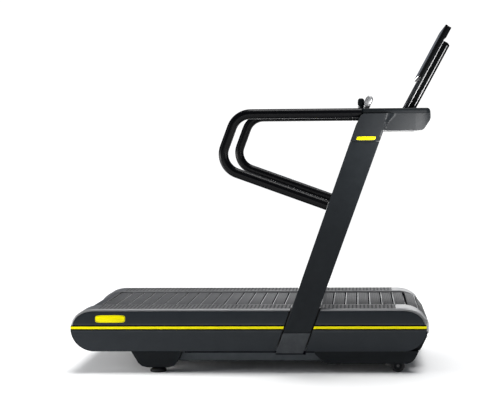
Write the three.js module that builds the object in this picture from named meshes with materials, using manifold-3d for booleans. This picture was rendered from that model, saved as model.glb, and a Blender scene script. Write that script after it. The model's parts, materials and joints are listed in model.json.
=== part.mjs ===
// A motor-driven slat-belt treadmill with a flat deck, a lift under its front end, two leaning
// uprights with looped handrails, a console with two control levers, and a tall leaning display.
// Millimetres. X runs forward, Y to the user's left, Z up. The origin is on the floor, in the
// middle of the machine.
import * as THREE from 'three';
import { mergeVertices } from 'three/addons/utils/BufferGeometryUtils.js';
import Module from 'manifold-3d';

const wasm = await Module();
wasm.setup();

// ---- driving dimensions -------------------------------------------------------------------

const GAP = 0.4; // left between pieces that touch
const HALF_WIDTH = 469; // outer face of the side panels and uprights

const PANEL = { rear: -991, front: 847, bottom: 111, top: 320, inner: 400, skin: 7 };
const END = { length: 120, lowerLength: 118, trim: 12, split: 243 }; // rounded ends of the sides
const STRIPE = { z: 236, height: 14, thick: 3.2 };
const RAIL = { top: 332, thick: 11.5, inner: 290, outer: 457 };

const PITCH = 64.7; // slat spacing along the belt
const TOP_SLATS = 25;
const WRAP_SLATS = 5; // slats round half of each drum
const SLAT = { halfWidth: 285, length: 59, inner: 104.1, outer: 117 };
const CARRIER = { inner: 100, outer: 106, near: 200, far: 250 };
const DRUM_Z = 206.5;
const FRONT_X = 749.8;
const REAR_X = FRONT_X - TOP_SLATS * PITCH;
const DRUM = { radius: 99.2, halfWidth: 270, shaft: 15, shaftEnd: 342 };
const REAR_COVER = { radius: 123.2, thick: 1.8, from: 89, to: 196 };
const PULLEY = { near: 292, far: 312, driven: 50, motor: 28, belt: 4 };
const MOTOR_X = 560;
const IDLER = { xs: [-320, 340], radius: 22, axle: 8, end: 352 };

const BEAM = { inner: 344, outer: 374, bottom: 130, rear: -905, front: 787 };
const CROSS_XS = [-620, 180];
const PAN = { rear: -460, front: 321, bottom: 47, endTop: 84, halfWidth: 359, wall: 3 };

const FOOT = { x: -544, y: 410, padRadius: 42, padHeight: 22, studRadius: 9, studTop: 60 };
const HOUSING = { top: 110.5, bottom: 26, near: 360, far: 445, wall: 6, pocketTop: 78 };

const LIFT = { pivotX: 390, axleZ: 35, axle: 8, wheelX: 700, wheelRadius: 34, wheelNear: 408, wheelFar: 437 };
const ARM = { bottom: 30, top: 43, halfWidth: 322, crossRear: 640, crossFront: 659, near: 386, far: 404 };
const HANGER = { near: 332, far: 344, bottom: 25, top: 45.5, halfLength: 16 };
const SCREW = { z: 66, radius: 8, tubeRadius: 15, tubeRear: 480, tubeFront: 640, end: 590 };
const BELLY = { halfWidth: 445, top: 110.5, bottom: 46, wall: 4, openTop: 80 };
const CHEEK = { near: 385, far: 399 };
const NOSE = { x: 770, z: 55, slope: 0.88 };
const INLET = { y: 210, halfWidth: 24, low: 52, high: 77, depth: 16, rim: 4 };

const LEAN = 0.357; // how far an upright moves forward for each unit of height
const UPRIGHT = { rearX: 74, frontX: 213, baseZ: 103, seamLow: 209, seamHigh: 1186, near: 407 };
const CONSOLE = { rear: 508, front: 871, top: 1327.5, bottom: 1241, near: 385, far: 430 };
const TRAY = {
  halfWidth: 436,
  bottom: 1328,
  top: 1355,
  nose: 16,
  wellX: 700,
  wellY: 300,
  wellRadius: 43,
  wellFloor: 1256,
};
const HANDRAIL = {
  y: 423,
  z: 1330.5,
  radius: 25.5,
  bend: 103,
  foot: [343.3, 859.6],
  lowCorner: [-219.6, 1064.8],
  highCornerX: -118.6,
};
const BAR = { x: 518, z: 1389.5, length: 35, height: 43, corner: 14, halfWidth: 285, postY: 240 };
const LEVER = { near: 292, far: 330, pivotX: 545, pivotZ: 1368, top: 1426 };
const STOP = { x: 600, radius: 26, bottom: 1318, top: 1354 };
const SCREEN = { halfWidth: 252, thick: 26, hump: 34, humpUp: 236, glass: 3 };
const FASCIA = { front: 16.5, halfWidth: 240 };
const MAST = { back: 71, top: 230, halfWidth: 200 };
const DISPLAY = { x: 816, z: 1523.6, lean: THREE.MathUtils.degToRad(28.5), height: 304.7 };

// ---- geometry helpers ---------------------------------------------------------------------

// A closed three.js geometry as a solid that can be joined and cut.
function solid(geometry) {
  const bare = geometry.clone();
  bare.deleteAttribute('normal');
  bare.deleteAttribute('uv');
  const merged = mergeVertices(bare, 1e-4);
  return new wasm.Manifold(new wasm.Mesh({
    numProp: 3,
    vertProperties: new Float32Array(merged.attributes.position.array),
    triVerts: new Uint32Array(merged.index.array),
  }));
}

// A solid as a three.js geometry again.
function geometryOf(body) {
  const mesh = body.getMesh();
  const geometry = new THREE.BufferGeometry();
  geometry.setAttribute('position', new THREE.BufferAttribute(new Float32Array(mesh.vertProperties), 3));
  geometry.setIndex(new THREE.BufferAttribute(new Uint32Array(mesh.triVerts), 1));
  geometry.computeVertexNormals();
  return geometry;
}

// A side-view outline of [x, z] points, as a slab between two values of y.
function slab(points, y0, y1) {
  const shape = new THREE.Shape(points.map(([x, z]) => new THREE.Vector2(x, z)));
  const geometry = new THREE.ExtrudeGeometry(shape, { depth: Math.abs(y1 - y0), bevelEnabled: false });
  geometry.rotateX(Math.PI / 2);
  geometry.translate(0, Math.max(y0, y1), 0);
  return geometry;
}

// A front-view outline of [y, z] points, as a bar between two values of x.
function bar(points, x0, x1) {
  const shape = new THREE.Shape(points.map(([y, z]) => new THREE.Vector2(y, z)));
  const geometry = new THREE.ExtrudeGeometry(shape, { depth: x1 - x0, bevelEnabled: false });
  geometry.applyMatrix4(new THREE.Matrix4().set(0, 0, 1, x0, 1, 0, 0, 0, 0, 1, 0, 0, 0, 0, 0, 1));
  return geometry;
}

function box(x0, x1, y0, y1, z0, z1) {
  const geometry = new THREE.BoxGeometry(x1 - x0, Math.abs(y1 - y0), z1 - z0);
  geometry.translate((x0 + x1) / 2, (y0 + y1) / 2, (z0 + z1) / 2);
  return geometry;
}

// A solid of revolution round an axis along Y through (x, z). Profile points are [radius, y].
function turnedY(x, z, profile, segments = 24) {
  const points = profile.map(([r, y]) => new THREE.Vector2(r, y));
  const geometry = new THREE.LatheGeometry(points, segments);
  geometry.translate(x, 0, z);
  return geometry;
}

// A solid of revolution round a vertical axis through (x, y). Profile points are [radius, z].
function turnedZ(x, y, profile, segments = 24) {
  const points = profile.map(([r, z]) => new THREE.Vector2(r, z));
  const geometry = new THREE.LatheGeometry(points, segments);
  geometry.rotateX(Math.PI / 2);
  geometry.translate(x, y, 0);
  return geometry;
}

function rod(x, z, radius, y0, y1, segments = 16) {
  const [low, high] = [Math.min(y0, y1), Math.max(y0, y1)];
  return turnedY(x, z, [[0, low], [radius, low], [radius, high], [0, high]], segments);
}

// Points of an ellipse arc, angles in degrees, anticlockwise from forward.
function arc(x, z, rx, rz, from, to, steps = 8) {
  return Array.from({ length: steps + 1 }, (_, i) => {
    const angle = THREE.MathUtils.degToRad(from + ((to - from) * i) / steps);
    return [x + rx * Math.cos(angle), z + rz * Math.sin(angle)];
  });
}

// Points of a smooth curve through some points.
function spline(points, steps) {
  return new THREE.SplineCurve(points.map(([x, z]) => new THREE.Vector2(x, z))).getPoints(steps)
    .map((point) => point.toArray());
}

// A closed outline with every edge moved inwards by a distance.
function shrunk(points, distance) {
  const at = (i) => new THREE.Vector2(...points[(i + points.length) % points.length]);
  const turn = Math.sign(THREE.ShapeUtils.area(points.map((_, i) => at(i))));
  const normal = (from, to) => {
    const along = to.sub(from).normalize();
    return new THREE.Vector2(-along.y, along.x).multiplyScalar(turn);
  };
  return points.map((_, i) => {
    const before = normal(at(i - 1), at(i));
    const after = normal(at(i), at(i + 1));
    const shift = before.clone().add(after).multiplyScalar(distance / (1 + before.dot(after)));
    return at(i).add(shift).toArray();
  });
}

function join(...geometries) {
  return geometries.map(solid).reduce((all, one) => all.add(one));
}

function cut(geometry, ...tools) {
  return tools.map(solid).reduce((rest, tool) => rest.subtract(tool), solid(geometry));
}

// ---- materials and the assembly -----------------------------------------------------------

const FINISH = {
  charcoal: { color: 0x2c2f32, roughness: 0.45, metalness: 0.1 },
  graphite: { color: 0x45484b, roughness: 0.4, metalness: 0.2 },
  black: { color: 0x101214, roughness: 0.5, metalness: 0.0 },
  silver: { color: 0x98999c, roughness: 0.35, metalness: 0.7 },
  slat: { color: 0x6d6e70, roughness: 0.7, metalness: 0.0 },
  yellow: { color: 0xf6e600, roughness: 0.35, metalness: 0.0 },
  steel: { color: 0x8d9094, roughness: 0.4, metalness: 0.9 },
  iron: { color: 0x3a3c3e, roughness: 0.6, metalness: 0.6 },
  chrome: { color: 0xe6e8ea, roughness: 0.12, metalness: 1.0 },
  rubber: { color: 0x0c0c0d, roughness: 0.85, metalness: 0.0 },
  glass: { color: 0x0b0d10, roughness: 0.08, metalness: 0.0 },
  red: { color: 0xb3141a, roughness: 0.4, metalness: 0.0 },
};

const group = new THREE.Group();

function add(name, shape, finish) {
  const geometry = shape.isBufferGeometry ? shape : geometryOf(shape);
  const mesh = new THREE.Mesh(geometry, new THREE.MeshStandardMaterial(FINISH[finish]));
  mesh.name = name;
  group.add(mesh);
}

// Makes the left (+Y) and right (-Y) copies of a piece.
function addPair(name, make, finish) {
  for (const [side, word] of [[1, 'left'], [-1, 'right']]) {
    add(`${name}_${word}`, make(side), finish);
  }
}

// ---- feet, frame and covers underneath ----------------------------------------------------

function levellingFoot(side) {
  const { padRadius, padHeight, studRadius, studTop } = FOOT;
  const profile = [
    [0, 0], [padRadius - 3, 0], [padRadius, 3], [padRadius, 12], [padRadius - 8, 18],
    [22, padHeight], [studRadius, padHeight], [studRadius, studTop], [0, studTop],
  ];
  return turnedZ(FOOT.x, side * FOOT.y, profile, 20);
}

function footHousing(side) {
  const { top, bottom, near, far, wall, pocketTop } = HOUSING;
  const outline = [[-682, top], [-645, 49], [-624, 31], [-598, bottom], [-489, bottom], [-457, 34],
    [-436, 57], [-414, top]];
  const neck = box(-630, -470, side * (BEAM.inner + GAP), side * BEAM.outer, 100, BEAM.bottom - GAP);
  const reach = FOOT.padRadius - 2;
  const pocket = box(FOOT.x - reach, FOOT.x + reach, side * (near + wall), side * (far - wall),
    bottom - 5, pocketTop);
  return join(slab(outline, side * near, side * far), neck).subtract(solid(pocket));
}

function sideBeam(side) {
  const { inner, outer, bottom, rear, front } = BEAM;
  const outline = [[rear, bottom], [front, bottom], [front, 300], [PANEL.front - END.length, 319],
    [PANEL.rear + END.length, 319], [rear, 300]];
  const holes = IDLER.xs.map((x) => rod(x, idlerZ(), IDLER.axle + GAP, side * 330, side * (IDLER.end + 1)));
  return cut(slab(outline, side * inner, side * outer), ...holes);
}

function crossMember(x) {
  const reach = BEAM.inner - GAP;
  const wall = 4;
  const tube = box(x - 25, x + 25, -reach, reach, 190, 240);
  const hollow = box(x - 25 + wall, x + 25 - wall, -reach - 1, reach + 1, 190 + wall, 240 - wall);
  return cut(tube, hollow);
}

// A tray hung under the beams; its end walls stay below the returning belt.
function undersidePan() {
  const { rear, front, bottom, endTop, halfWidth, wall } = PAN;
  const inside = halfWidth - wall;
  const top = BEAM.bottom - GAP;
  return cut(
    box(rear, front, -halfWidth, halfWidth, bottom, top),
    box(rear + wall, front - wall, -inside, inside, bottom + wall, top + 1),
    box(rear - 1, front + 1, -inside, inside, endTop, top + 1),
  );
}

// Side outline of the tub under the front end.
const TUB_OUTLINE = [
  [268, BELLY.top],
  ...spline([[276, 93], [294, 76], [309.5, 60], [330, 49.6], [361, BELLY.bottom]], 10),
  ...spline([[742, BELLY.bottom], [764, 51.5], [783, 66.5], [798, 93]], 8),
  [806, BELLY.top],
];

// Side outline of a cheek, which stands up inside the side panel and follows the nose.
const CHEEK_OUTLINE = [[690, 107], [690, 118], [740, 120], [776, 132], [845, 209], [856, 203], [844, 165],
  [823, 123], [813, 107]];

// A wide shallow tub. It is open under the belt, and its sides close over into a shelf that carries
// the cheeks and the tabs under the side beams.
function bellyCover() {
  const { halfWidth, top, bottom, wall, openTop } = BELLY;
  const inside = halfWidth - wall;
  const shell = solid(slab(TUB_OUTLINE, -halfWidth, halfWidth))
    .subtract(solid(slab(shrunk(TUB_OUTLINE, wall), -inside, inside)));
  const open = box(200, 900, -CHEEK.near, CHEEK.near, openTop, top + 5);
  const panRoom = box(200, PAN.front + 3, -PAN.halfWidth - 3, PAN.halfWidth + 3, bottom - 5, top + 5);
  const crankSlot = box(LIFT.pivotX - 20, LIFT.pivotX + 45, -14, 14, bottom - 5, bottom + 10);
  const wheelSlots = [1, -1].map((side) => box(LIFT.wheelX - 45, LIFT.wheelX + 47,
    side * (LIFT.wheelNear - 6), side * inside, bottom - 5, bottom + 10));
  const tub = [open, panRoom, crankSlot, ...wheelSlots, noseBlock(-10, 40, 0)].map(solid)
    .reduce((rest, tool) => rest.subtract(tool), shell);
  const additions = [1, -1].flatMap((side) => [
    slab(CHEEK_OUTLINE, side * CHEEK.near, side * CHEEK.far),
    ...[420, 620].map((x) => box(x - 20, x + 20, side * (BEAM.inner + GAP), side * (CHEEK.near + 4), top - 3,
      BEAM.bottom - GAP)),
  ]);
  return additions.map(solid).reduce((all, one) => all.add(one), tub);
}

// A slanted block that follows the tub's nose, set back from its surface.
function noseBlock(back, depth, shrink) {
  const low = INLET.low + shrink;
  const high = INLET.high - shrink;
  const face = (z) => NOSE.x + NOSE.slope * (z - NOSE.z) - back;
  return slab([[face(low), low], [face(high), high], [face(high) - depth, high], [face(low) - depth, low]],
    INLET.y - INLET.halfWidth + shrink, INLET.y + INLET.halfWidth - shrink);
}

// The mains inlet in the tub's nose: a block with a shallow socket and three pins left standing.
function powerInlet() {
  const { y, depth, low, high, rim } = INLET;
  const socket = solid(noseBlock(-5, 13, rim));
  const middle = (low + high) / 2;
  const pins = [[-9, -3], [0, 4], [9, -3]].map(([dy, dz]) => solid(box(NOSE.x - 5, NOSE.x + 16,
    y + dy - 1.5, y + dy + 1.5, middle + dz - 3, middle + dz + 3)));
  const block = solid(noseBlock(1, depth, GAP));
  return block.subtract(pins.reduce((rest, pin) => rest.subtract(pin), socket));
}

// ---- lift under the front end -------------------------------------------------------------

// Two lugs joined by a thin bridge under the tub.
function liftHanger() {
  const { pivotX, axleZ, axle } = LIFT;
  const { near, far, bottom, top, halfLength } = HANGER;
  const sheet = 1.5;
  const lug = (side) => {
    const plate = slab([[pivotX - halfLength, top], [pivotX - 12, bottom], [pivotX + 12, bottom],
      [pivotX + halfLength, top]], side * near, side * far);
    return cut(plate, rod(pivotX, axleZ, axle + 0.6, side * (near - 12), side * (far + 6)));
  };
  const bridge = box(pivotX - halfLength, pivotX - halfLength + 4, -far, far, top - sheet, top);
  return lug(1).add(lug(-1)).add(solid(bridge));
}

// A plate on the pivot axle, a cross piece, two arms with the wheel axle, and the crank.
function liftArm() {
  const { pivotX, axleZ, axle, wheelX, wheelRadius, wheelFar } = LIFT;
  const { bottom, top, halfWidth, crossRear, crossFront, near, far } = ARM;
  const plate = box(pivotX, crossFront, -halfWidth, halfWidth, bottom + 2, top);
  const cross = box(crossRear, crossFront, -far, far, bottom, top);
  const arms = [1, -1].map((side) => slab([[crossRear + 4, bottom], [crossRear + 4, top], [wheelX, top + 1],
    [wheelX + 14, top - 4], [wheelX + 14, 24], [wheelX - 12, 24]], side * near, side * far));
  const pivot = rod(pivotX, axleZ, axle, -HANGER.far - 2, HANGER.far + 2);
  const wheelAxle = rod(wheelX, wheelRadius, axle - GAP, -wheelFar - 2, wheelFar + 2);
  const crank = box(pivotX - 6, pivotX + 6, -9, 9, axleZ - 3, axleZ + 38);
  return join(plate, cross, ...arms, pivot, wheelAxle, crank);
}

function liftWheel(side) {
  const { wheelX, wheelRadius, wheelNear, wheelFar } = LIFT;
  const profile = [[8, wheelNear], [wheelRadius - 3, wheelNear], [wheelRadius, wheelNear + 4],
    [wheelRadius, wheelFar - 4], [wheelRadius - 3, wheelFar], [8, wheelFar], [8, wheelNear]];
  const geometry = turnedY(wheelX, wheelRadius, profile, 24);
  if (side < 0) geometry.translate(0, -(wheelNear + wheelFar), 0);
  return geometry;
}

function alongX(radius, x0, x1, z, segments = 16) {
  const points = [[0, x0], [radius, x0], [radius, x1], [0, x1]].map(([r, x]) => new THREE.Vector2(r, x));
  const geometry = new THREE.LatheGeometry(points, segments);
  geometry.rotateZ(-Math.PI / 2);
  geometry.translate(0, 0, z);
  return geometry;
}

function liftActuator() {
  const { z, radius, tubeRadius, tubeRear, tubeFront } = SCREW;
  const mount = box(tubeFront - 40, tubeFront + 50, -34, 34, BELLY.bottom + BELLY.wall + GAP, z + 16);
  const tube = join(alongX(tubeRadius, tubeRear, tubeFront, z), mount);
  return tube.subtract(solid(alongX(radius + 2, tubeRear - 10, tubeFront - 20, z)));
}

function liftScrew() {
  const { z, radius, end } = SCREW;
  const rear = LIFT.pivotX + 8;
  return join(alongX(radius, rear, end, z), box(rear, rear + 10, -12, 12, z - 10, z + 10));
}

// ---- slat belt and its drive --------------------------------------------------------------

function idlerZ() {
  return DRUM_Z + CARRIER.inner - 0.6 - IDLER.radius;
}

// A straight run of slats on their carrier band. Direction 1 is the top run, -1 the bottom run.
function beltRun(direction) {
  const z = (r) => DRUM_Z + direction * r;
  const outline = [[FRONT_X - 1, z(CARRIER.outer)], [FRONT_X - 1, z(CARRIER.inner)],
    [REAR_X + 1, z(CARRIER.inner)], [REAR_X + 1, z(CARRIER.outer)]];
  for (let i = 0; i < TOP_SLATS; i += 1) {
    const centre = REAR_X + (i + 0.5) * PITCH;
    const [low, high] = [centre - SLAT.length / 2, centre + SLAT.length / 2];
    outline.push([low, z(CARRIER.outer)], [low, z(SLAT.outer)]);
    outline.push([high, z(SLAT.outer)], [high, z(CARRIER.outer)]);
  }
  return slab(outline, -SLAT.halfWidth, SLAT.halfWidth);
}

// The slats round a drum, at x. Direction 1 opens to the rear (front drum), -1 to the front.
function beltWrap(x, direction) {
  const step = 180 / WRAP_SLATS;
  const turn = (degrees) => (direction > 0 ? degrees : 180 + degrees);
  const outline = [...arc(x, DRUM_Z, CARRIER.outer, CARRIER.outer, turn(-89.2), turn(89.2), 22),
    ...arc(x, DRUM_Z, CARRIER.inner, CARRIER.inner, turn(89.2), turn(-89.2), 22)];
  const pieces = [1, -1].map((side) => slab(outline, side * CARRIER.near, side * CARRIER.far));
  for (let i = 0; i < WRAP_SLATS; i += 1) {
    const slat = box(SLAT.inner, SLAT.outer, -SLAT.halfWidth, SLAT.halfWidth,
      -SLAT.length / 2, SLAT.length / 2);
    slat.rotateY(-THREE.MathUtils.degToRad(turn(-90 + step * (i + 0.5))));
    slat.translate(x, 0, DRUM_Z);
    pieces.push(slat);
  }
  return join(...pieces);
}

function drum(x) {
  const { radius, halfWidth, shaft, shaftEnd } = DRUM;
  return turnedY(x, DRUM_Z, [[0, -shaftEnd], [shaft, -shaftEnd], [shaft, -halfWidth], [radius, -halfWidth],
    [radius, halfWidth], [shaft, halfWidth], [shaft, shaftEnd], [0, shaftEnd]], 28);
}

function bearingBlock(x, side) {
  const block = box(x - 35, x + 35, side * 316, side * (BEAM.inner - GAP), DRUM_Z - 35, DRUM_Z + 35);
  return cut(block, rod(x, DRUM_Z, DRUM.shaft + GAP, side * 310, side * 350));
}

function drivenPulley() {
  const { near, far, driven } = PULLEY;
  const bore = DRUM.shaft + GAP;
  return turnedY(FRONT_X, DRUM_Z, [[bore, near], [driven, near], [driven, far], [bore, far], [bore, near]], 32);
}

function motorPulley() {
  const { near, far, motor } = PULLEY;
  return turnedY(MOTOR_X, DRUM_Z, [[0, 162], [12, 162], [12, near], [motor, near], [motor, far], [0, far]]);
}

// Both pulleys' circles and the two straight strands between them, at a distance out from them.
function beltOutline(out) {
  const distance = FRONT_X - MOTOR_X;
  const tilt = THREE.MathUtils.radToDeg(Math.asin((PULLEY.driven - PULLEY.motor) / distance));
  const large = PULLEY.driven + out;
  const small = PULLEY.motor + out;
  return [...arc(FRONT_X, DRUM_Z, large, large, -90 - tilt, 90 + tilt, 16),
    ...arc(MOTOR_X, DRUM_Z, small, small, 90 + tilt, 270 - tilt, 12)];
}

function driveBelt() {
  const outer = slab(beltOutline(PULLEY.belt), PULLEY.near + 1, PULLEY.far - 1);
  return cut(outer, slab(beltOutline(GAP), PULLEY.near - 5, PULLEY.far + 5));
}

function driveMotor() {
  const reach = BEAM.inner - GAP;
  const body = turnedY(MOTOR_X, DRUM_Z, [[0, -130], [52, -130], [65, -118], [65, 140], [50, 150], [50, 160],
    [0, 160]], 28);
  const plate = box(MOTOR_X - 55, MOTOR_X + 55, -reach, reach, 142, 156);
  return join(body, plate);
}

function idlerRoller(x) {
  const { radius, axle, end } = IDLER;
  return turnedY(x, idlerZ(), [[0, -end], [axle, -end], [axle, -275], [radius, -275], [radius, 275],
    [axle, 275], [axle, end], [0, end]], 20);
}

// ---- side panels, foot rails and rear cover -----------------------------------------------

// Where an upright's rear and front edges are at a height.
const rearEdge = (z) => UPRIGHT.rearX + LEAN * (z - UPRIGHT.baseZ);
const frontEdge = (z) => UPRIGHT.frontX + (LEAN + 0.01) * (z - UPRIGHT.baseZ);

// Half of a side's outline, from the foot of the upright to its top, round one end.
// Inset moves it inwards; sign is -1 for the rear half and 1 for the front half.
function panelOutline(sign, inset) {
  const end = sign < 0 ? PANEL.rear + inset : PANEL.front - inset;
  const gap = 6 + inset;
  const edge = (z) => (sign < 0 ? rearEdge(z) - gap : frontEdge(z) + gap);
  const low = PANEL.bottom + inset;
  const high = PANEL.top - GAP - inset;
  const lowerX = end - sign * END.lowerLength;
  const upperX = end - sign * END.length;
  const trimmed = END.length - END.trim;
  const lower = arc(lowerX, STRIPE.z, END.lowerLength, STRIPE.z - low, 0, -90, 9).reverse();
  const upper = arc(upperX, END.split, trimmed, high - END.split, 0, 90, 9);
  const mirrored = (points, x) => (sign > 0 ? points : points.map(([px, pz]) => [2 * x - px, pz]));
  return [[edge(low), low], ...mirrored(lower, lowerX), [end, END.split], ...mirrored(upper, upperX),
    [edge(high), high]];
}

// Front-view section: it leans in above the stripe and curls in a little at the bottom.
function panelSection(inset) {
  const out = HALF_WIDTH - inset;
  return [[PANEL.inner - 20, PANEL.bottom - 5 + inset], [out - 16, PANEL.bottom - 5 + inset], [out - 6, 142],
    [out - 0.5, 190], [out, STRIPE.z - 9], [out, STRIPE.z + 9], [out - 3, 270],
    [out - 12, PANEL.top + 5 - inset],
    [PANEL.inner - 20, PANEL.top + 5 - inset]];
}

function mirrorY(points, side) {
  return points.map(([y, z]) => [side * y, z]);
}

function sidePanel(side, sign) {
  const layer = (inset, inner) => solid(slab(panelOutline(sign, inset), side * inner, side * HALF_WIDTH))
    .intersect(solid(bar(mirrorY(panelSection(inset), side), PANEL.rear - 10, PANEL.front + 10)));
  const shell = layer(0, PANEL.inner + GAP).subtract(layer(PANEL.skin, PANEL.inner - 10));
  const groove = STRIPE.height / 2 + GAP;
  return shell.subtract(solid(box(PANEL.rear - 10, PANEL.front + 10, side * (HALF_WIDTH - STRIPE.thick - GAP),
    side * (HALF_WIDTH + 10), STRIPE.z - groove, STRIPE.z + groove)));
}

function stripe(side, sign) {
  const [near, far] = [HALF_WIDTH - STRIPE.thick, HALF_WIDTH - 0.2];
  const half = STRIPE.height / 2;
  const end = sign < 0 ? PANEL.rear + 1 : PANEL.front - 1;
  const edge = (z) => (sign < 0 ? rearEdge(z) - 6 : frontEdge(z) + 6);
  return slab([[end, STRIPE.z - half], [edge(STRIPE.z - half), STRIPE.z - half],
    [edge(STRIPE.z + half), STRIPE.z + half], [end, STRIPE.z + half]], side * near, side * far);
}

// The outline of a side above the stripe, moved inwards.
function crestOutline(inset) {
  const rear = PANEL.rear + END.length;
  const front = PANEL.front - END.length;
  const length = END.length - inset;
  const height = RAIL.top - END.split - inset;
  return [...arc(front, END.split, length, height, 0, 90, 10),
    ...arc(rear, END.split, length, height, 90, 180, 10)];
}

// A tread plate between the belt and the panel. Its ends follow the panel's round ends down.
function footRail(side) {
  const band = [...crestOutline(0), ...crestOutline(RAIL.thick).reverse()];
  const plate = slab(band, side * RAIL.inner, side * RAIL.outer);
  const notch = slab([[rearEdge(315) - 6, 315], [frontEdge(315) + 6, 315], [frontEdge(340) + 6, 340],
    [rearEdge(340) - 6, 340]], side * (UPRIGHT.near - 4), side * (RAIL.outer + 5));
  return cut(plate, notch);
}

function rearCover() {
  const { radius, thick, from, to } = REAR_COVER;
  const inner = radius - thick;
  const band = [...arc(REAR_X, DRUM_Z, radius, radius, from, to, 16),
    ...arc(REAR_X, DRUM_Z, inner, inner, to, from, 16)];
  return slab(band, -(RAIL.inner - GAP), RAIL.inner - GAP);
}

// ---- uprights, handrails and console ------------------------------------------------------

function uprightOutline(low, high, inset = 0) {
  return [[rearEdge(low) + inset, low], [frontEdge(low) - inset, low], [frontEdge(high) - inset, high],
    [rearEdge(high) + inset, high]];
}

function upright(side) {
  const { seamLow, seamHigh, near } = UPRIGHT;
  const wall = 5;
  const tube = cut(slab(uprightOutline(seamLow, seamHigh), side * near, side * HALF_WIDTH),
    slab(uprightOutline(seamLow - 5, seamHigh + 5, wall), side * (near + wall), side * (HALF_WIDTH - wall)));
  const foot = box(140, 225, side * (BEAM.outer + GAP), side * (near + 3), seamLow + 6, 300);
  return tube.add(solid(foot));
}

function uprightCover(side) {
  const { baseZ, seamLow, near } = UPRIGHT;
  return cut(slab(uprightOutline(baseZ, seamLow - GAP), side * near, side * HALF_WIDTH),
    slab(uprightOutline(baseZ - 5, seamLow - 6, 5), side * (near - 5), side * (HALF_WIDTH - 5)));
}

// The handrail's centre line, as [x, z] points: up from the upright, round, and forward.
function handrailCurve(y) {
  const { z, bend, foot, lowCorner, highCornerX } = HANDRAIL;
  const corners = [foot, lowCorner, [highCornerX, z], [CONSOLE.rear - 5, z]]
    .map(([x, height]) => new THREE.Vector2(x, height));
  const path = new THREE.CurvePath();
  const at = (v) => new THREE.Vector3(v.x, y, v.y);
  let start = corners[0];
  for (let i = 1; i < corners.length - 1; i += 1) {
    const before = corners[i - 1].clone().sub(corners[i]).normalize();
    const after = corners[i + 1].clone().sub(corners[i]).normalize();
    const reach = bend / Math.tan(Math.acos(before.dot(after)) / 2);
    const enter = corners[i].clone().addScaledVector(before, reach);
    const leave = corners[i].clone().addScaledVector(after, reach);
    path.add(new THREE.LineCurve3(at(start), at(enter)));
    path.add(new THREE.QuadraticBezierCurve3(at(enter), at(corners[i]), at(leave)));
    start = leave;
  }
  path.add(new THREE.LineCurve3(at(start), at(corners[corners.length - 1])));
  return path;
}

// A round section with its number of sides.
function roundSection(radius, sides) {
  return new THREE.Shape(Array.from({ length: sides }, (_, i) => {
    const angle = (2 * Math.PI * i) / sides;
    return new THREE.Vector2(radius * Math.cos(angle), radius * Math.sin(angle));
  }));
}

function handrail(side) {
  return new THREE.ExtrudeGeometry(roundSection(HANDRAIL.radius, 10), {
    steps: 30,
    bevelEnabled: false,
    extrudePath: handrailCurve(side * HANDRAIL.y),
  });
}

// The grey console moulding: a tub with two cheeks that run down into the uprights.
function consoleBody() {
  const { rear, front, top, bottom, near, far } = CONSOLE;
  const low = UPRIGHT.seamHigh + GAP;
  const tub = [[frontEdge(bottom) - 30, bottom], [825, bottom], [front - 3, 1300], [front, 1306], [front, top],
    [rear + 4, top], [rear + 4, 1312]];
  const inside = [[frontEdge(bottom) - 24, bottom + 4], [821, bottom + 4], [front - 7, 1304],
    [front - 6, top + 5], [rear + 12, top + 5], [rear + 12, 1316]];
  const shell = cut(slab(tub, -far, far), slab(inside, -near, near));
  const arms = [1, -1].map((side) => {
    const outline = [[rearEdge(low), low], [frontEdge(low), low], [frontEdge(1290), 1290], [680, top - 6],
      [660, top], [rear + 10, top], [rear, top - 12], [rearEdge(1290), 1290]];
    return solid(slab(outline, side * UPRIGHT.near, side * HALF_WIDTH));
  });
  return arms.reduce((all, arm) => all.add(arm), shell);
}

function roundedRectangle(x0, x1, halfWidth, radius) {
  const corner = (x, y, from) => arc(x, y, radius, radius, from, from + 90, 4);
  return [...corner(x1 - radius, halfWidth - radius, 0), ...corner(x0 + radius, halfWidth - radius, 90),
    ...corner(x0 + radius, -halfWidth + radius, 180), ...corner(x1 - radius, -halfWidth + radius, 270)];
}

// A plan-view outline of [x, y] points, between two heights.
function layer(points, z0, z1) {
  const shape = new THREE.Shape(points.map(([x, y]) => new THREE.Vector2(x, y)));
  const geometry = new THREE.ExtrudeGeometry(shape, { depth: z1 - z0, bevelEnabled: false });
  geometry.translate(0, 0, z0);
  return geometry;
}

function consoleTray() {
  const { halfWidth, bottom, top, nose, wellX, wellY, wellRadius, wellFloor } = TRAY;
  const well = (side, radius, low, high) => turnedZ(wellX, side * wellY,
    [[0, low], [radius, low], [radius, high], [0, high]], 24);
  const wells = [1, -1].map((side) => well(side, wellRadius + 3, wellFloor, bottom + 2));
  const hollows = [1, -1].map((side) => well(side, wellRadius, wellFloor + 3, top + 5));
  const buttonHole = turnedZ(STOP.x, 0, [[0, bottom - 5], [STOP.radius + 1, bottom - 5],
    [STOP.radius + 1, top + 5], [0, top + 5]]);
  const { rear, front } = CONSOLE;
  const profile = [[rear, bottom], [front - 4, bottom], [front, bottom + 4],
    ...arc(front - nose, top - nose, nose, nose, 0, 90, 5), [rear, top]];
  const plate = solid(layer(roundedRectangle(rear, front, halfWidth, 28), bottom, top))
    .intersect(solid(slab(profile, -halfWidth - 1, halfWidth + 1)));
  const filled = wells.map(solid).reduce((all, one) => all.add(one), plate);
  return [...hollows, buttonHole].map(solid).reduce((rest, tool) => rest.subtract(tool), filled);
}

function stopButton() {
  const { x, radius, bottom, top } = STOP;
  return turnedZ(x, 0, [[0, bottom], [radius, bottom], [radius, top - 8], [radius - 5, top - 2], [0, top]]);
}

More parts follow.
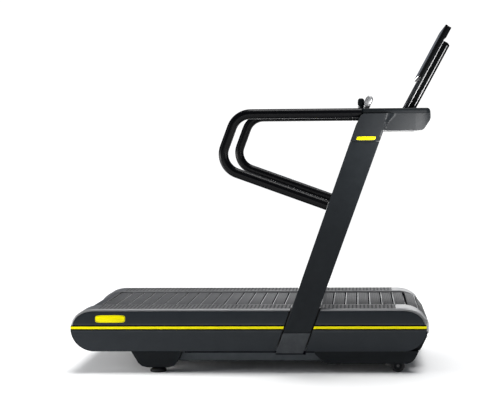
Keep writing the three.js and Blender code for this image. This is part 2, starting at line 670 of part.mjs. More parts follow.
// The hand-sensor bar across the console, on two posts.
function sensorBar() {
  const { x, z, length, height, corner, halfWidth, postY } = BAR;
  const outline = [...arc(x + length / 2 - corner, z + height / 2 - corner, corner, corner, 0, 90, 3),
    ...arc(x - length / 2 + corner, z + height / 2 - corner, corner, corner, 90, 180, 3),
    ...arc(x - length / 2 + corner, z - height / 2 + corner, corner, corner, 180, 270, 3),
    ...arc(x + length / 2 - corner, z - height / 2 + corner, corner, corner, 270, 360, 3)];
  const posts = [1, -1].map((side) => box(x - 5, x + 14, side * (postY - 14), side * (postY + 14),
    TRAY.top + GAP, z));
  return join(slab(outline, -halfWidth, halfWidth), ...posts);
}

// A rounded paddle that leans forward.
function lever(side) {
  const { near, far, pivotX, pivotZ, top } = LEVER;
  const outline = [...arc(pivotX, pivotZ, 13, 12, 180, 360, 4),
    ...arc(pivotX + 12, top - 18, 24, 18, -10, 180, 7)];
  return slab(outline, side * near, side * far);
}

// ---- display ------------------------------------------------------------------------------

// A point up the display's slope from the screen's lower front edge, and a depth behind its front.
function onDisplay(up, depth) {
  const { x, z, lean } = DISPLAY;
  return [x + up * Math.sin(lean) + depth * Math.cos(lean), z + up * Math.cos(lean) - depth * Math.sin(lean)];
}

// The point at a depth where the display meets the console.
function displayFoot(depth) {
  const { z, lean } = DISPLAY;
  return onDisplay((TRAY.top + GAP - z + depth * Math.sin(lean)) / Math.cos(lean), depth);
}

function screenHousing() {
  const { halfWidth, thick, hump, humpUp, glass } = SCREEN;
  const front = glass + GAP;
  return slab([onDisplay(0, front), onDisplay(0, thick), onDisplay(humpUp, thick), onDisplay(humpUp + 6, hump),
    onDisplay(DISPLAY.height, hump), onDisplay(DISPLAY.height, front)], -halfWidth, halfWidth);
}

function screenGlass() {
  const { halfWidth, glass } = SCREEN;
  return slab([onDisplay(0, 0), onDisplay(0, glass), onDisplay(DISPLAY.height, glass),
    onDisplay(DISPLAY.height, 0)], -halfWidth, halfWidth);
}

// The thin panel between the screen and the console.
function displayFascia() {
  const { front, halfWidth } = FASCIA;
  return slab([onDisplay(-GAP, front), displayFoot(front), displayFoot(SCREEN.thick),
    onDisplay(-GAP, SCREEN.thick)], -halfWidth, halfWidth);
}

// The arm behind the screen, from the console up to a rounded top.
function displayMast() {
  const { back, top, halfWidth } = MAST;
  const front = SCREEN.thick + GAP;
  return slab([displayFoot(front), displayFoot(back), onDisplay(top - 12, back), onDisplay(top - 3, back - 8),
    onDisplay(top, back - 20), onDisplay(top, front)], -halfWidth, halfWidth);
}

// ---- the whole machine --------------------------------------------------------------------

addPair('levelling_foot', levellingFoot, 'rubber');
addPair('foot_housing', footHousing, 'black');
addPair('side_beam', sideBeam, 'iron');
CROSS_XS.forEach((x, i) => add(`cross_member_${i + 1}`, crossMember(x), 'iron'));
add('underside_pan', undersidePan(), 'black');
add('belly_cover', bellyCover(), 'black');
add('power_inlet', powerInlet(), 'black');

add('lift_hanger', liftHanger(), 'iron');
add('lift_arm', liftArm(), 'iron');
addPair('lift_wheel', liftWheel, 'rubber');
add('lift_actuator', liftActuator(), 'iron');
add('lift_screw', liftScrew(), 'steel');

add('belt_top_run', beltRun(1), 'slat');
add('belt_bottom_run', beltRun(-1), 'slat');
add('belt_front_wrap', beltWrap(FRONT_X, 1), 'slat');
add('belt_rear_wrap', beltWrap(REAR_X, -1), 'slat');
add('front_drum', drum(FRONT_X), 'steel');
add('rear_drum', drum(REAR_X), 'steel');
for (const [word, x] of [['front', FRONT_X], ['rear', REAR_X]]) {
  addPair(`${word}_bearing`, (side) => bearingBlock(x, side), 'iron');
}
add('driven_pulley', drivenPulley(), 'steel');
add('motor_pulley', motorPulley(), 'steel');
add('drive_belt', driveBelt(), 'rubber');
add('drive_motor', driveMotor(), 'iron');
IDLER.xs.forEach((x, i) => add(`idler_roller_${i + 1}`, idlerRoller(x), 'steel'));

for (const [word, sign] of [['rear', -1], ['front', 1]]) {
  addPair(`${word}_side_panel`, (side) => sidePanel(side, sign), 'charcoal');
  addPair(`${word}_stripe`, (side) => stripe(side, sign), 'yellow');
}
addPair('foot_rail', footRail, 'silver');
add('rear_cover', rearCover(), 'graphite');

addPair('upright', upright, 'graphite');
addPair('upright_cover', uprightCover, 'charcoal');
addPair('handrail', handrail, 'black');
add('console_body', consoleBody(), 'graphite');
add('console_tray', consoleTray(), 'black');
add('sensor_bar', sensorBar(), 'black');
addPair('speed_lever', lever, 'chrome');
add('stop_button', stopButton(), 'red');

add('display_mast', displayMast(), 'black');
add('screen_housing', screenHousing(), 'graphite');
add('screen_glass', screenGlass(), 'glass');
add('display_fascia', displayFascia(), 'black');

export default group;
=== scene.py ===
"""Looks for the slat-belt treadmill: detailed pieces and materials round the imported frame."""

import json
import math

import bmesh
import bpy
from mathutils import Matrix, Vector


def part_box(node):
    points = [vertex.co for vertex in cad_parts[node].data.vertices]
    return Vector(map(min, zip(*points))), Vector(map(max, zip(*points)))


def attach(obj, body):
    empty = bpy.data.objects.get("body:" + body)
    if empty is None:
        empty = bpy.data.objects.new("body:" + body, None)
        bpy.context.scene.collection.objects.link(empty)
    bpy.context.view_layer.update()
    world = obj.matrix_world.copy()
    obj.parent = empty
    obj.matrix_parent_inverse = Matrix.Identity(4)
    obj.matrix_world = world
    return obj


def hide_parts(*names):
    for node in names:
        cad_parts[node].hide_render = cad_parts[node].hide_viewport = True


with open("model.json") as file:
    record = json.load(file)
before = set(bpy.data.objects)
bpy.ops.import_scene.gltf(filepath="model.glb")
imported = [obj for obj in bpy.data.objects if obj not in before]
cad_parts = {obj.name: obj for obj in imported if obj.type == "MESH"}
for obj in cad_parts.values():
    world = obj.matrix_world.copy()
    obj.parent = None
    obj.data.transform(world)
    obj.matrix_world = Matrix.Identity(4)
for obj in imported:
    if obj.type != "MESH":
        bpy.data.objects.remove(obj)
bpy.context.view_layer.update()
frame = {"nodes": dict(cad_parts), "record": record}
NODES = frame["nodes"]
MM = 0.001
SIDES = ((1, "left"), (-1, "right"))

# ---- dimensions shared with the CAD, in millimetres ----

HALF_WIDTH = 469
PANEL = dict(rear=-991, front=847, bottom=111, top=319.6, inner=400.4, gap=8.5)
END = dict(length=120, lower=118, trim=12, split=243)
STRIPE_Z = 236
RAIL = dict(top=332, thick=11.5, inner=290, outer=457)
PITCH = 64.7
TOP_SLATS = 25
DRUM_Z = 206.5
FRONT_X = 749.8
REAR_X = FRONT_X - TOP_SLATS * PITCH
WRAP_SLATS = 5
SLAT = dict(half=285, length=59, inner=104.1, outer=117)
CARRIER = dict(inner=100.2, outer=103.9, ys=((-250, -200), (200, 250)))
COVER_RADIUS = 123.2
SEAM_LOW, SEAM_HIGH, UPRIGHT_NEAR, UPRIGHT_BASE = 209, 1186, 407, 103
UPRIGHT_REAR, UPRIGHT_FRONT = dict(x=74, lean=0.357), dict(x=213, lean=0.367)
CONSOLE = dict(rear=508, front=871, top=1327.5, bottom=1241, far=430, rounds_from=790)
TRAY = dict(bottom=1328, top=1355, half=436, nose=18, well_x=700, well_y=300, well_radius=43, well_floor=1256)
BUTTON_AT = (600, 0)
FOOT_AT = (-544, 410)
WHEEL_AT = (700, 34)
LEAN = math.radians(28.5)
SCREEN_AT = (816, 1523.6)
SCREEN_HEIGHT = 304.7


def rear_edge(z):
    """Where the leaning upright's rear edge is at a height."""
    return UPRIGHT_REAR["x"] + UPRIGHT_REAR["lean"] * (z - UPRIGHT_BASE)


def front_edge(z):
    return UPRIGHT_FRONT["x"] + UPRIGHT_FRONT["lean"] * (z - UPRIGHT_BASE)


def on_display(up, depth):
    """A point up the display's slope and behind its front, as (x, z)."""
    return (
        SCREEN_AT[0] + up * math.sin(LEAN) + depth * math.cos(LEAN),
        SCREEN_AT[1] + up * math.cos(LEAN) - depth * math.sin(LEAN),
    )


def display_foot(depth, z=1355.6):
    """How far down the slope the display meets the console, at a depth."""
    return (z - SCREEN_AT[1] + depth * math.sin(LEAN)) / math.cos(LEAN)


def arc(x, z, rx, rz, start, end, steps):
    turns = [math.radians(start + (end - start) * i / steps) for i in range(steps + 1)]
    return [(x + rx * math.cos(a), z + rz * math.sin(a)) for a in turns]


def smooth(t):
    t = min(1.0, max(0.0, t))
    return t * t * (3 - 2 * t)


def lerp(a, b, t):
    return a + (b - a) * t


def round_corners(points, radii, steps=5):
    """A closed outline with each corner replaced by an arc of about its radius."""
    if not isinstance(radii, (list, tuple)):
        radii = [radii] * len(points)
    out = []
    for i, (p, r) in enumerate(zip(points, radii)):
        p, a, b = Vector(p), Vector(points[i - 1]), Vector(points[(i + 1) % len(points)])
        u, v = (a - p).normalized(), (b - p).normalized()
        half = math.acos(max(-1, min(1, u.dot(v)))) / 2
        if r <= 0 or half > math.radians(88):
            out.append(tuple(p))
            continue
        reach = min(r / math.tan(half), 0.49 * (a - p).length, 0.49 * (b - p).length)
        s, e = p + u * reach, p + v * reach
        for k in range(steps + 1):
            t = k / steps
            out.append(tuple(s * (1 - t) ** 2 + p * (2 * t * (1 - t)) + e * t * t))
    return out


# ---- materials ----


def node(tree, kind, **values):
    made = tree.nodes.new(kind)
    for name, value in values.items():
        if name in made.inputs:
            made.inputs[name].default_value = value
        else:
            setattr(made, name, value)
    return made


def grey(value):
    return (value, value, value)


def surface(name, dark, light, rough, metallic=0.0, grain=900.0, bump=0.15, depth=0.0002, patch=14.0, edge_wear_and_highlight=None,
            stretch=(1, 1, 1), coat=0.0, coat_rough=0.1, specular=0.5, rough_spread=0.08):
    """A material with patchy colour, grain in its bump and roughness, and paler edges: worn edges, and on the
    side panels a painted highlight along the rims.
    """
    mat = bpy.data.materials.new(name)
    mat.use_nodes = True
    tree = mat.node_tree
    link = tree.links.new
    shader = tree.nodes["Principled BSDF"]
    fixed = {"Metallic": metallic, "Coat Weight": coat, "Coat Roughness": coat_rough,
             "Specular IOR Level": specular}
    for socket, value in fixed.items():
        shader.inputs[socket].default_value = value
    place = node(tree, "ShaderNodeTexCoord")
    spread = node(tree, "ShaderNodeMapping", Scale=stretch)
    link(place.outputs["Object"], spread.inputs["Vector"])
    patches = node(tree, "ShaderNodeTexNoise", Scale=patch, Detail=4.0, Roughness=0.6)
    link(spread.outputs["Vector"], patches.inputs["Vector"])
    grains = node(tree, "ShaderNodeTexNoise", Scale=grain, Detail=3.0, Roughness=0.55)
    link(spread.outputs["Vector"], grains.inputs["Vector"])
    tint = node(tree, "ShaderNodeMix", data_type="RGBA")
    both = node(tree, "ShaderNodeMath", operation="MULTIPLY_ADD")
    both.inputs[1].default_value = 0.35
    link(grains.outputs["Fac"], both.inputs[0])
    part = node(tree, "ShaderNodeMapRange", **{"From Min": 0.3, "From Max": 0.7, "To Max": 0.65})
    link(patches.outputs["Fac"], part.inputs["Value"])
    link(part.outputs["Result"], both.inputs[2])
    link(both.outputs["Value"], tint.inputs["Factor"])
    tint.inputs["A"].default_value = (*dark, 1)
    tint.inputs["B"].default_value = (*light, 1)
    colour = tint.outputs["Result"]
    # edges found by pointiness take the edge colour: wear, and on the charcoal panels a painted highlight
    if edge_wear_and_highlight is not None:
        shape = node(tree, "ShaderNodeNewGeometry")
        edge = node(tree, "ShaderNodeMapRange", **{"From Min": 0.53, "From Max": 0.62})
        link(shape.outputs["Pointiness"], edge.inputs["Value"])
        wear_and_highlight_mask = node(tree, "ShaderNodeMath", operation="MULTIPLY")
        link(edge.outputs["Result"], wear_and_highlight_mask.inputs[0])
        link(patches.outputs["Fac"], wear_and_highlight_mask.inputs[1])
        wear_and_highlight_mix = node(tree, "ShaderNodeMix", data_type="RGBA")
        link(wear_and_highlight_mask.outputs["Value"], wear_and_highlight_mix.inputs["Factor"])
        link(colour, wear_and_highlight_mix.inputs["A"])
        wear_and_highlight_mix.inputs["B"].default_value = (*edge_wear_and_highlight, 1)
        colour = wear_and_highlight_mix.outputs["Result"]
    link(colour, shader.inputs["Base Color"])
    low, high = max(0.02, rough - rough_spread), min(1.0, rough + rough_spread)
    gloss = node(tree, "ShaderNodeMapRange", **{"To Min": low, "To Max": high})
    link(patches.outputs["Fac"], gloss.inputs["Value"])
    link(gloss.outputs["Result"], shader.inputs["Roughness"])
    relief = node(tree, "ShaderNodeBump", Strength=bump, Distance=depth)
    link(grains.outputs["Fac"], relief.inputs["Height"])
    link(relief.outputs["Normal"], shader.inputs["Normal"])
    return mat


MATERIAL = {
    "black_rubber": surface(
        "rubber_moulded", (0.004, 0.004, 0.005), (0.008, 0.008, 0.009), 0.75, grain=1400, bump=0.5,
        depth=0.0003, edge_wear_and_highlight=grey(0.05), specular=0.35),
    "belt_slat": surface(
        "slat_rubber_coating", (0.027, 0.028, 0.0305), (0.04, 0.041, 0.044), 0.62, grain=700, bump=0.6,
        depth=0.0005, edge_wear_and_highlight=grey(0.2), stretch=(1, 0.5, 1), specular=0.3),
    "black_plastic": surface(
        "plastic_black_textured", (0.002, 0.0033, 0.0045), (0.005, 0.0072, 0.0092), 0.5, grain=1200,
        bump=0.35, edge_wear_and_highlight=(0.02, 0.022, 0.024), specular=0.12),
    "handrail_black": surface(
        "grip_foam_black", (0.0008, 0.0008, 0.0012), (0.0018, 0.0018, 0.0026), 0.28, grain=1500, bump=0.12,
        specular=0.12, rough_spread=0.04),
    # its pale edge colour is a painted highlight on the rounded rims of the panels and the upright's foot covers,
    # on top of edge wear
    "charcoal_panel": surface(
        "panel_charcoal_satin", (0.011, 0.0145, 0.0185), (0.016, 0.0205, 0.0255), 0.38, grain=1100,
        bump=0.12, edge_wear_and_highlight=(0.3, 0.31, 0.32), specular=0.2),
    "graphite_paint": surface(
        "paint_graphite_satin", (0.0072, 0.0092, 0.0112), (0.0104, 0.0132, 0.0158), 0.4, grain=1300,
        bump=0.12, edge_wear_and_highlight=(0.08, 0.083, 0.088), specular=0.1),
    "screen_shell": surface(
        "shell_dark_grey", (0.006, 0.0075, 0.009), (0.009, 0.011, 0.013), 0.4, grain=1200,
        edge_wear_and_highlight=(0.03, 0.03, 0.032), specular=0.12),
    "silver_trim": surface(
        "trim_satin_grey", (0.082, 0.083, 0.087), (0.118, 0.119, 0.123), 0.36, metallic=0.3, bump=0.1,
        edge_wear_and_highlight=grey(0.5), stretch=(0.2, 1, 1)),
    "yellow_stripe": surface(
        "insert_yellow_gloss", (0.96, 0.84, 0.0), (1.0, 0.9, 0.0), 0.4, bump=0.06, patch=30, specular=0.1),
    "frame_steel": surface(
        "steel_painted_dark", (0.035, 0.036, 0.038), (0.06, 0.06, 0.062), 0.5, metallic=0.5, grain=600,
        bump=0.25, edge_wear_and_highlight=(0.25, 0.24, 0.22)),
    "turned_aluminium": surface(
        "aluminium_turned", (0.42, 0.42, 0.43), (0.56, 0.56, 0.57), 0.3, metallic=0.95, grain=500, bump=0.2,
        edge_wear_and_highlight=grey(0.75), stretch=(1, 12, 1)),
    "screw_steel": surface(
        "steel_ground", (0.35, 0.35, 0.36), (0.5, 0.5, 0.5), 0.28, metallic=1.0, grain=800, bump=0.2,
        edge_wear_and_highlight=grey(0.7), stretch=(12, 1, 1)),
    "chrome_lever": surface(
        "chrome_satin", (0.34, 0.34, 0.345), (0.42, 0.42, 0.425), 0.3, metallic=0.6, grain=700, bump=0.015,
        patch=30, rough_spread=0.04),
    "screen_glass": surface(
        "glass_dark", (0.01, 0.011, 0.013), (0.016, 0.017, 0.02), 0.08, grain=60, bump=0.02, coat=1.0,
        coat_rough=0.03, rough_spread=0.03),
    "stop_red": surface(
        "button_red", (0.42, 0.01, 0.012), (0.62, 0.02, 0.022), 0.35, bump=0.1, edge_wear_and_highlight=(0.8, 0.2, 0.2),
        coat=0.3),
}
SLAT_METAL = surface(
    "slat_body_satin", (0.6, 0.6, 0.605), (0.72, 0.72, 0.725), 0.4, metallic=0.3, grain=800, bump=0.2,
    edge_wear_and_highlight=grey(0.5), stretch=(1, 0.3, 1))
COVER_PAINT = surface(
    "cover_satin_grey", (0.03, 0.031, 0.034), (0.042, 0.0435, 0.047), 0.42, grain=1300, bump=0.12,
    edge_wear_and_highlight=grey(0.14), specular=0.35)
# the underside pan lightened to slate: painted fill light in the shade under the deck
PAN_PAINTED_FILL_LIGHT = surface(
    "pan_slate_painted_fill_light", (0.04, 0.05, 0.058), (0.055, 0.068, 0.078), 0.5, grain=1100, bump=0.2,
    edge_wear_and_highlight=(0.12, 0.13, 0.14), specular=0.2)
# a lighter copy of the graphite paint for the console cheeks: painted light, the frame lighter towards its top
CONSOLE_PAINTED_LIGHTER = surface(
    "console_paint_painted_lighter", (0.0095, 0.011, 0.0128), (0.013, 0.0152, 0.0175), 0.36, grain=1300, bump=0.12,
    edge_wear_and_highlight=(0.1, 0.103, 0.108), specular=0.19)
# near-black: the printed line on the labels, and painted shade in the stripe groove, under the slats and under
# the side panels
PRINT_AND_PAINTED_SHADE = surface(
    "blue_black_print_and_painted_shade", (0.0005, 0.0005, 0.003), (0.001, 0.001, 0.005), 0.8, bump=0.1, specular=0.03)
# a brighter copy of the rail's trim for its rounded outer edge: painted highlight
RAIL_EDGE_PAINTED_HIGHLIGHT = surface(
    "rail_edge_painted_highlight", (0.2, 0.202, 0.206), (0.26, 0.262, 0.266), 0.34, metallic=0.3, bump=0.12,
    stretch=(1, 0.2, 1))
DEEP_BLACK = surface(
    "display_deep_black", (0.0012, 0.0014, 0.0018), (0.0022, 0.0025, 0.003), 0.55, bump=0.1, specular=0.05)
SCREEN_SHELL = surface(
    "screen_shell_black", (0.003, 0.0036, 0.0043), (0.0048, 0.0056, 0.0066), 0.5, bump=0.1,
    edge_wear_and_highlight=(0.02, 0.021, 0.022), specular=0.08)
# near-white strips on the mast: painted highlights along its edges
WHITE_PAINTED_HIGHLIGHT = surface(
    "white_painted_highlight_strip", grey(0.8), grey(0.92), 0.3, metallic=0.25, grain=500, bump=0.03,
    patch=20, rough_spread=0.05)

for entry in frame["record"]["subparts"]:
    own = NODES[entry["node"]].data.materials
    own.clear()
    own.append(MATERIAL[entry["material_slot"]])

# ---- mesh helpers ----


def bevel(obj, width, segments=2, angle=32, weld=False):
    if weld:
        obj.modifiers.new("weld", "WELD").merge_threshold = 1e-5
    b = obj.modifiers.new("bevel", "BEVEL")
    b.width = width * MM
    b.segments = segments
    b.limit_method = "ANGLE"
    b.angle_limit = math.radians(angle)
    n = obj.modifiers.new("normals", "WEIGHTED_NORMAL")
    n.keep_sharp = False
    n.weight = 60


def linked(name, data):
    """A new object in the scene."""
    obj = bpy.data.objects.new(name, data)
    bpy.context.scene.collection.objects.link(obj)
    return obj


def to_object(name, bm):
    """An object made of a bmesh in millimetres, with its faces turned outwards."""
    bmesh.ops.recalc_face_normals(bm, faces=bm.faces)
    bmesh.ops.scale(bm, vec=(MM, MM, MM), verts=bm.verts)
    mesh = bpy.data.meshes.new(name)
    bm.to_mesh(mesh)
    bm.free()
    return linked(name, mesh)


def piece(name, bm, body, slot, replaces=(), material=None, edge=0.0, segments=2, angle=32, wall=0.0, shade=35):
    """Turns a bmesh in millimetres into a piece that rides on a body."""
    bmesh.ops.remove_doubles(bm, verts=bm.verts, dist=0.004)
    obj = to_object(name, bm)
    mesh = obj.data
    for f in mesh.polygons:
        f.use_smooth = True
    if edge:
        bevel(obj, edge, segments, angle)
    elif shade:
        mesh.set_sharp_from_angle(angle=math.radians(shade))
    if wall:
        w = obj.modifiers.new("wall", "SOLIDIFY")
        w.thickness = wall * MM
        w.offset = -1
        w.use_even_offset = True
    mesh.materials.append(material or MATERIAL[slot])
    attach(obj, body)
    if replaces:
        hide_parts(*replaces)
    return obj


def prism(bm, outline, y0, y1):
    """A closed prism of a side outline of (x, z) points, between two values of y."""
    a = [bm.verts.new((x, y0, z)) for x, z in outline]
    b = [bm.verts.new((x, y1, z)) for x, z in outline]
    bm.faces.new(a)
    bm.faces.new(b)
    for i in range(len(a)):
        j = (i + 1) % len(a)
        bm.faces.new((a[i], a[j], b[j], b[i]))
    return bm


def cuboid(bm, x0, x1, y0, y1, z0, z1):
    return prism(bm, [(x0, z0), (x1, z0), (x1, z1), (x0, z1)], y0, y1)


def grid(bm, rows, closed_rows=False, closed_columns=False):
    """Faces between rows of points, as (x, y, z)."""
    made = [[bm.verts.new(p) for p in row] for row in rows]
    count = len(made)
    for i in range(count if closed_rows else count - 1):
        low, high = made[i], made[(i + 1) % count]
        span = len(low)
        for j in range(span if closed_columns else span - 1):
            k = (j + 1) % span
            bm.faces.new((low[j], low[k], high[k], high[j]))
    return made


def loft(bm, rings):
    """A solid through rings of points, capped at its first and last ring."""
    made = grid(bm, rings, closed_columns=True)
    bm.faces.new(made[0])
    bm.faces.new(made[-1])


def lathe(bm, centre, axis, profile, steps=48, closed=True):
    """Turns a profile of (radius, distance along the axis) round a crosswise (y) or an upright (z) axis."""
    rows = []
    for i in range(steps):
        a = 2 * math.pi * i / steps
        turned = [(centre[0] + r * math.cos(a), centre[1] + r * math.sin(a), h) for r, h in profile]
        rows.append([(u, h, v) if axis == "y" else (u, v, h) for u, v, h in turned])
    return grid(bm, rows, closed_rows=True, closed_columns=closed)


def turned_piece(name, centre, axis, profile, steps, body, slot, replaces=(), **look):
    bm = bmesh.new()
    lathe(bm, centre, axis, profile, steps)
    piece(name, bm, body, slot, replaces, **look)


def skin(outline, levels, depth_of, side, inner, columns=()):
    """An outer face cut at heights and stations, pushed to its depth, with a rim that runs inwards."""
    bm = bmesh.new()
    bm.faces.new([bm.verts.new((x, 0, z)) for x, z in outline])
    cuts = [((0, 0, z), (0, 0, 1)) for z in levels] + [((x, 0, 0), (1, 0, 0)) for x in columns]
    for at, normal in cuts:
        everything = bm.verts[:] + bm.edges[:] + bm.faces[:]
        bmesh.ops.bisect_plane(bm, geom=everything, plane_co=at, plane_no=normal, dist=1e-4)
    rim = [e for e in bm.edges if len(e.link_faces) == 1]
    made = bmesh.ops.extrude_edge_only(bm, edges=rim)["geom"]
    walls = {v for v in made if isinstance(v, bmesh.types.BMVert)}
    for v in bm.verts:
        v.co.y = side * (inner if v in walls else depth_of(v.co.x, v.co.z))
    return bm


# ---- side panels and their stripes ----


def panel_end(sign):
    """The panel's round end, and its leaning edge beside the upright as a function of height and gap."""
    if sign < 0:
        return PANEL["rear"], lambda z, gap: rear_edge(z) - gap
    return PANEL["front"], lambda z, gap: front_edge(z) + gap


def panel_outline(sign, steps=26):
    end, edge = panel_end(sign)
    gap, low, high = PANEL["gap"], PANEL["bottom"], PANEL["top"]
    lower_x, upper_x = end - sign * END["lower"], end - sign * END["length"]
    trimmed = END["length"] - END["trim"]
    lower = arc(lower_x, STRIPE_Z, END["lower"], STRIPE_Z - low, -90, 0, steps)
    upper = arc(upper_x, END["split"], trimmed, high - END["split"], 0, 90, steps)
    if sign < 0:
        lower = [(2 * lower_x - x, z) for x, z in lower]
        upper = [(2 * upper_x - x, z) for x, z in upper]
    return [(edge(low, gap), low), *lower, (end, END["split"]), *upper, (edge(high, gap), high)]


GROOVE = dict(half=13.2, depth=3.6)
LEAN_IN, CURL_IN = 12, 16


def panel_depth(_x, z):
    """Half width of the side at a height: it leans in above the stripe and curls in below it."""
    if abs(z - STRIPE_Z) < GROOVE["half"] - 0.05:
        return HALF_WIDTH - GROOVE["depth"]
    if z > STRIPE_Z:
        return HALF_WIDTH - LEAN_IN * ((z - STRIPE_Z) / (PANEL["top"] - STRIPE_Z)) ** 1.5
    return HALF_WIDTH - CURL_IN * ((STRIPE_Z - z) / (STRIPE_Z - PANEL["bottom"])) ** 3


def panel_band(sign, half, tip, y0, y1):
    """A level band centred on the stripe, from inside the panel's round end to the upright."""
    end, edge = panel_end(sign)
    z0, z1, x = STRIPE_Z - half, STRIPE_Z + half, end - sign * tip
    return prism(bmesh.new(), [(x, z0), (edge(z0, 7), z0), (edge(z1, 7), z1), (x, z1)], y0, y1)


def side_panel(side, word, sign, end_word):
    half, floor = GROOVE["half"], HALF_WIDTH - GROOVE["depth"]
    steps = [STRIPE_Z + d * half + e for d in (-1, 1) for e in (-0.2, 0.2)]
    levels = [114, 118, 124, 132, 142, 155, 170, 190, 208, *steps, 262, 275, 288, 300, 310, 316]
    bm = skin(panel_outline(sign), levels, panel_depth, side, PANEL["inner"])
    piece(f"panel_skin_{end_word}_{word}", bm, "deck", "charcoal_panel", [f"{end_word}_side_panel_{word}"],
          edge=4.2, segments=3, angle=40, wall=3.0)
    # near-black strip behind the stripe, painted shade along the groove's edges, and the stripe itself with
    # softened edges
    groove_shade_strip = panel_band(sign, half - 0.5, 2.5, side * (floor - 1.5), side * (floor + 0.5))
    piece(f"stripe_channel_{end_word}_{word}", groove_shade_strip, "deck", "black_plastic", material=PRINT_AND_PAINTED_SHADE, edge=0.4)
    strip = panel_band(sign, 6.5, 1.2, side * (floor + 0.6), side * (HALF_WIDTH - 0.25))
    piece(f"stripe_insert_{end_word}_{word}", strip, "deck", "yellow_stripe", [f"{end_word}_stripe_{word}"],
          edge=1.0, segments=3)


for side, word in SIDES:
    for sign, end_word in ((-1, "rear"), (1, "front")):
        side_panel(side, word, sign, end_word)


# ---- foot rails ----

TREAD = dict(rear=-852, front=690, near=300, far=446, pitch=20.2, rib=12.0, sink=2.2)


def rail_section(outer, sink):
    """Across the rail, from its inner lip to its rounded outer edge: (y, depth below the top)."""
    thick = RAIL["thick"]
    flat = outer - 10
    inner, near = RAIL["inner"], TREAD["near"]
    out = [(inner, thick - 1), (inner, 2.5), (inner + 2.5, 0.0), (near - 0.6, 0.0), (near, sink),
           (min(TREAD["far"], outer - 11), sink), (flat - 0.4, 0.0)]
    out += [(flat + 10 * math.sin(a), 10 - 10 * math.cos(a)) for a in (math.radians(12 * i) for i in range(1, 8))]
    out += [(outer, thick - 1.2), (outer - 1.2, thick), (inner + 1.2, thick)]
    return out


def foot_rail(side, word):
    front, rear = PANEL["front"] - END["length"], PANEL["rear"] + END["length"]
    height = RAIL["top"] - END["split"]
    bend = arc(0, 0, 1, 1, 0, 90, 22)
    stations = [((front + END["length"] * c, END["split"] + height * s), (c * height, s * END["length"]), 0.0)
                for c, s in bend]
    # the plate narrows beside the upright, between two stations set close together at each end of the notch
    notch = (rear_edge(RAIL["top"]) - 8, front_edge(RAIL["top"]) + 8)
    xs = [front - 20, TREAD["front"] + 8, TREAD["front"], 500, notch[1] + 0.2, notch[1], notch[0], notch[0] - 0.2,
          0, -300, -600, TREAD["rear"], TREAD["rear"] - 8]
    for x in xs:
        sunk = 1.0 if TREAD["rear"] <= x <= TREAD["front"] else 0.0
        stations.append(((x, RAIL["top"]), (0, 1), sunk))
    stations += [((rear - END["length"] * c, END["split"] + height * s), (-c * height, s * END["length"]), 0.0)
                 for c, s in reversed(bend)]
    rows = []
    for (x, z), (nx, nz), sunk in stations:
        size = math.hypot(nx, nz)
        nx, nz = nx / size, nz / size
        inside = notch[0] - 0.1 < x < notch[1] + 0.1 and z > 331
        section = rail_section(UPRIGHT_NEAR - 5 if inside else RAIL["outer"], TREAD["sink"] * sunk)
        rows.append([(x - nx * d, side * y, z - nz * d) for y, d in section])
    bm = bmesh.new()
    loft(bm, rows)
    # the rounded outer edge takes the brighter copy of the trim, a painted highlight
    for face in bm.faces:
        if abs(face.calc_center_median().y) > RAIL["outer"] - 9:
            face.material_index = 1
    plate = piece(f"rail_plate_{word}", bm, "deck", "silver_trim", [f"foot_rail_{word}"],
                  edge=0.5, segments=1, angle=50)
    plate.data.materials.append(RAIL_EDGE_PAINTED_HIGHLIGHT)
    # cross ribs, set in a black strip, stop either side of the upright
    strip, ribs = bmesh.new(), bmesh.new()
    floor = RAIL["top"] - TREAD["sink"]
    spans = ((TREAD["rear"], notch[0] - 1, TREAD["far"]), (notch[0] + 3, notch[1] - 3, UPRIGHT_NEAR - 17),
             (notch[1] + 1, TREAD["front"], TREAD["far"]))
    for x0, x1, far in spans:
        cuboid(strip, x0 + 0.5, x1 - 0.5, side * (TREAD["near"] + 0.5), side * (far - 0.5), floor + 0.02,
               floor + 0.5)
        count = int((x1 - x0) // TREAD["pitch"])
        start = (x0 + x1 - count * TREAD["pitch"]) / 2
        half, low, high = TREAD["rib"] / 2, floor + 0.3, RAIL["top"] - 0.3
        for i in range(count):
            x = start + (i + 0.5) * TREAD["pitch"]
            outline = [(x - half, low), (x + half, low), (x + half - 1.2, high), (x - half + 1.2, high)]
            prism(ribs, outline, side * (TREAD["near"] + 3), side * (far - 3))
    piece(f"rail_tread_base_{word}", strip, "deck", "black_rubber", edge=0)
    piece(f"rail_tread_ribs_{word}", ribs, "deck", "belt_slat", edge=0.5, segments=1)


for side, word in SIDES:
    foot_rail(side, word)

# ---- slat belt ----


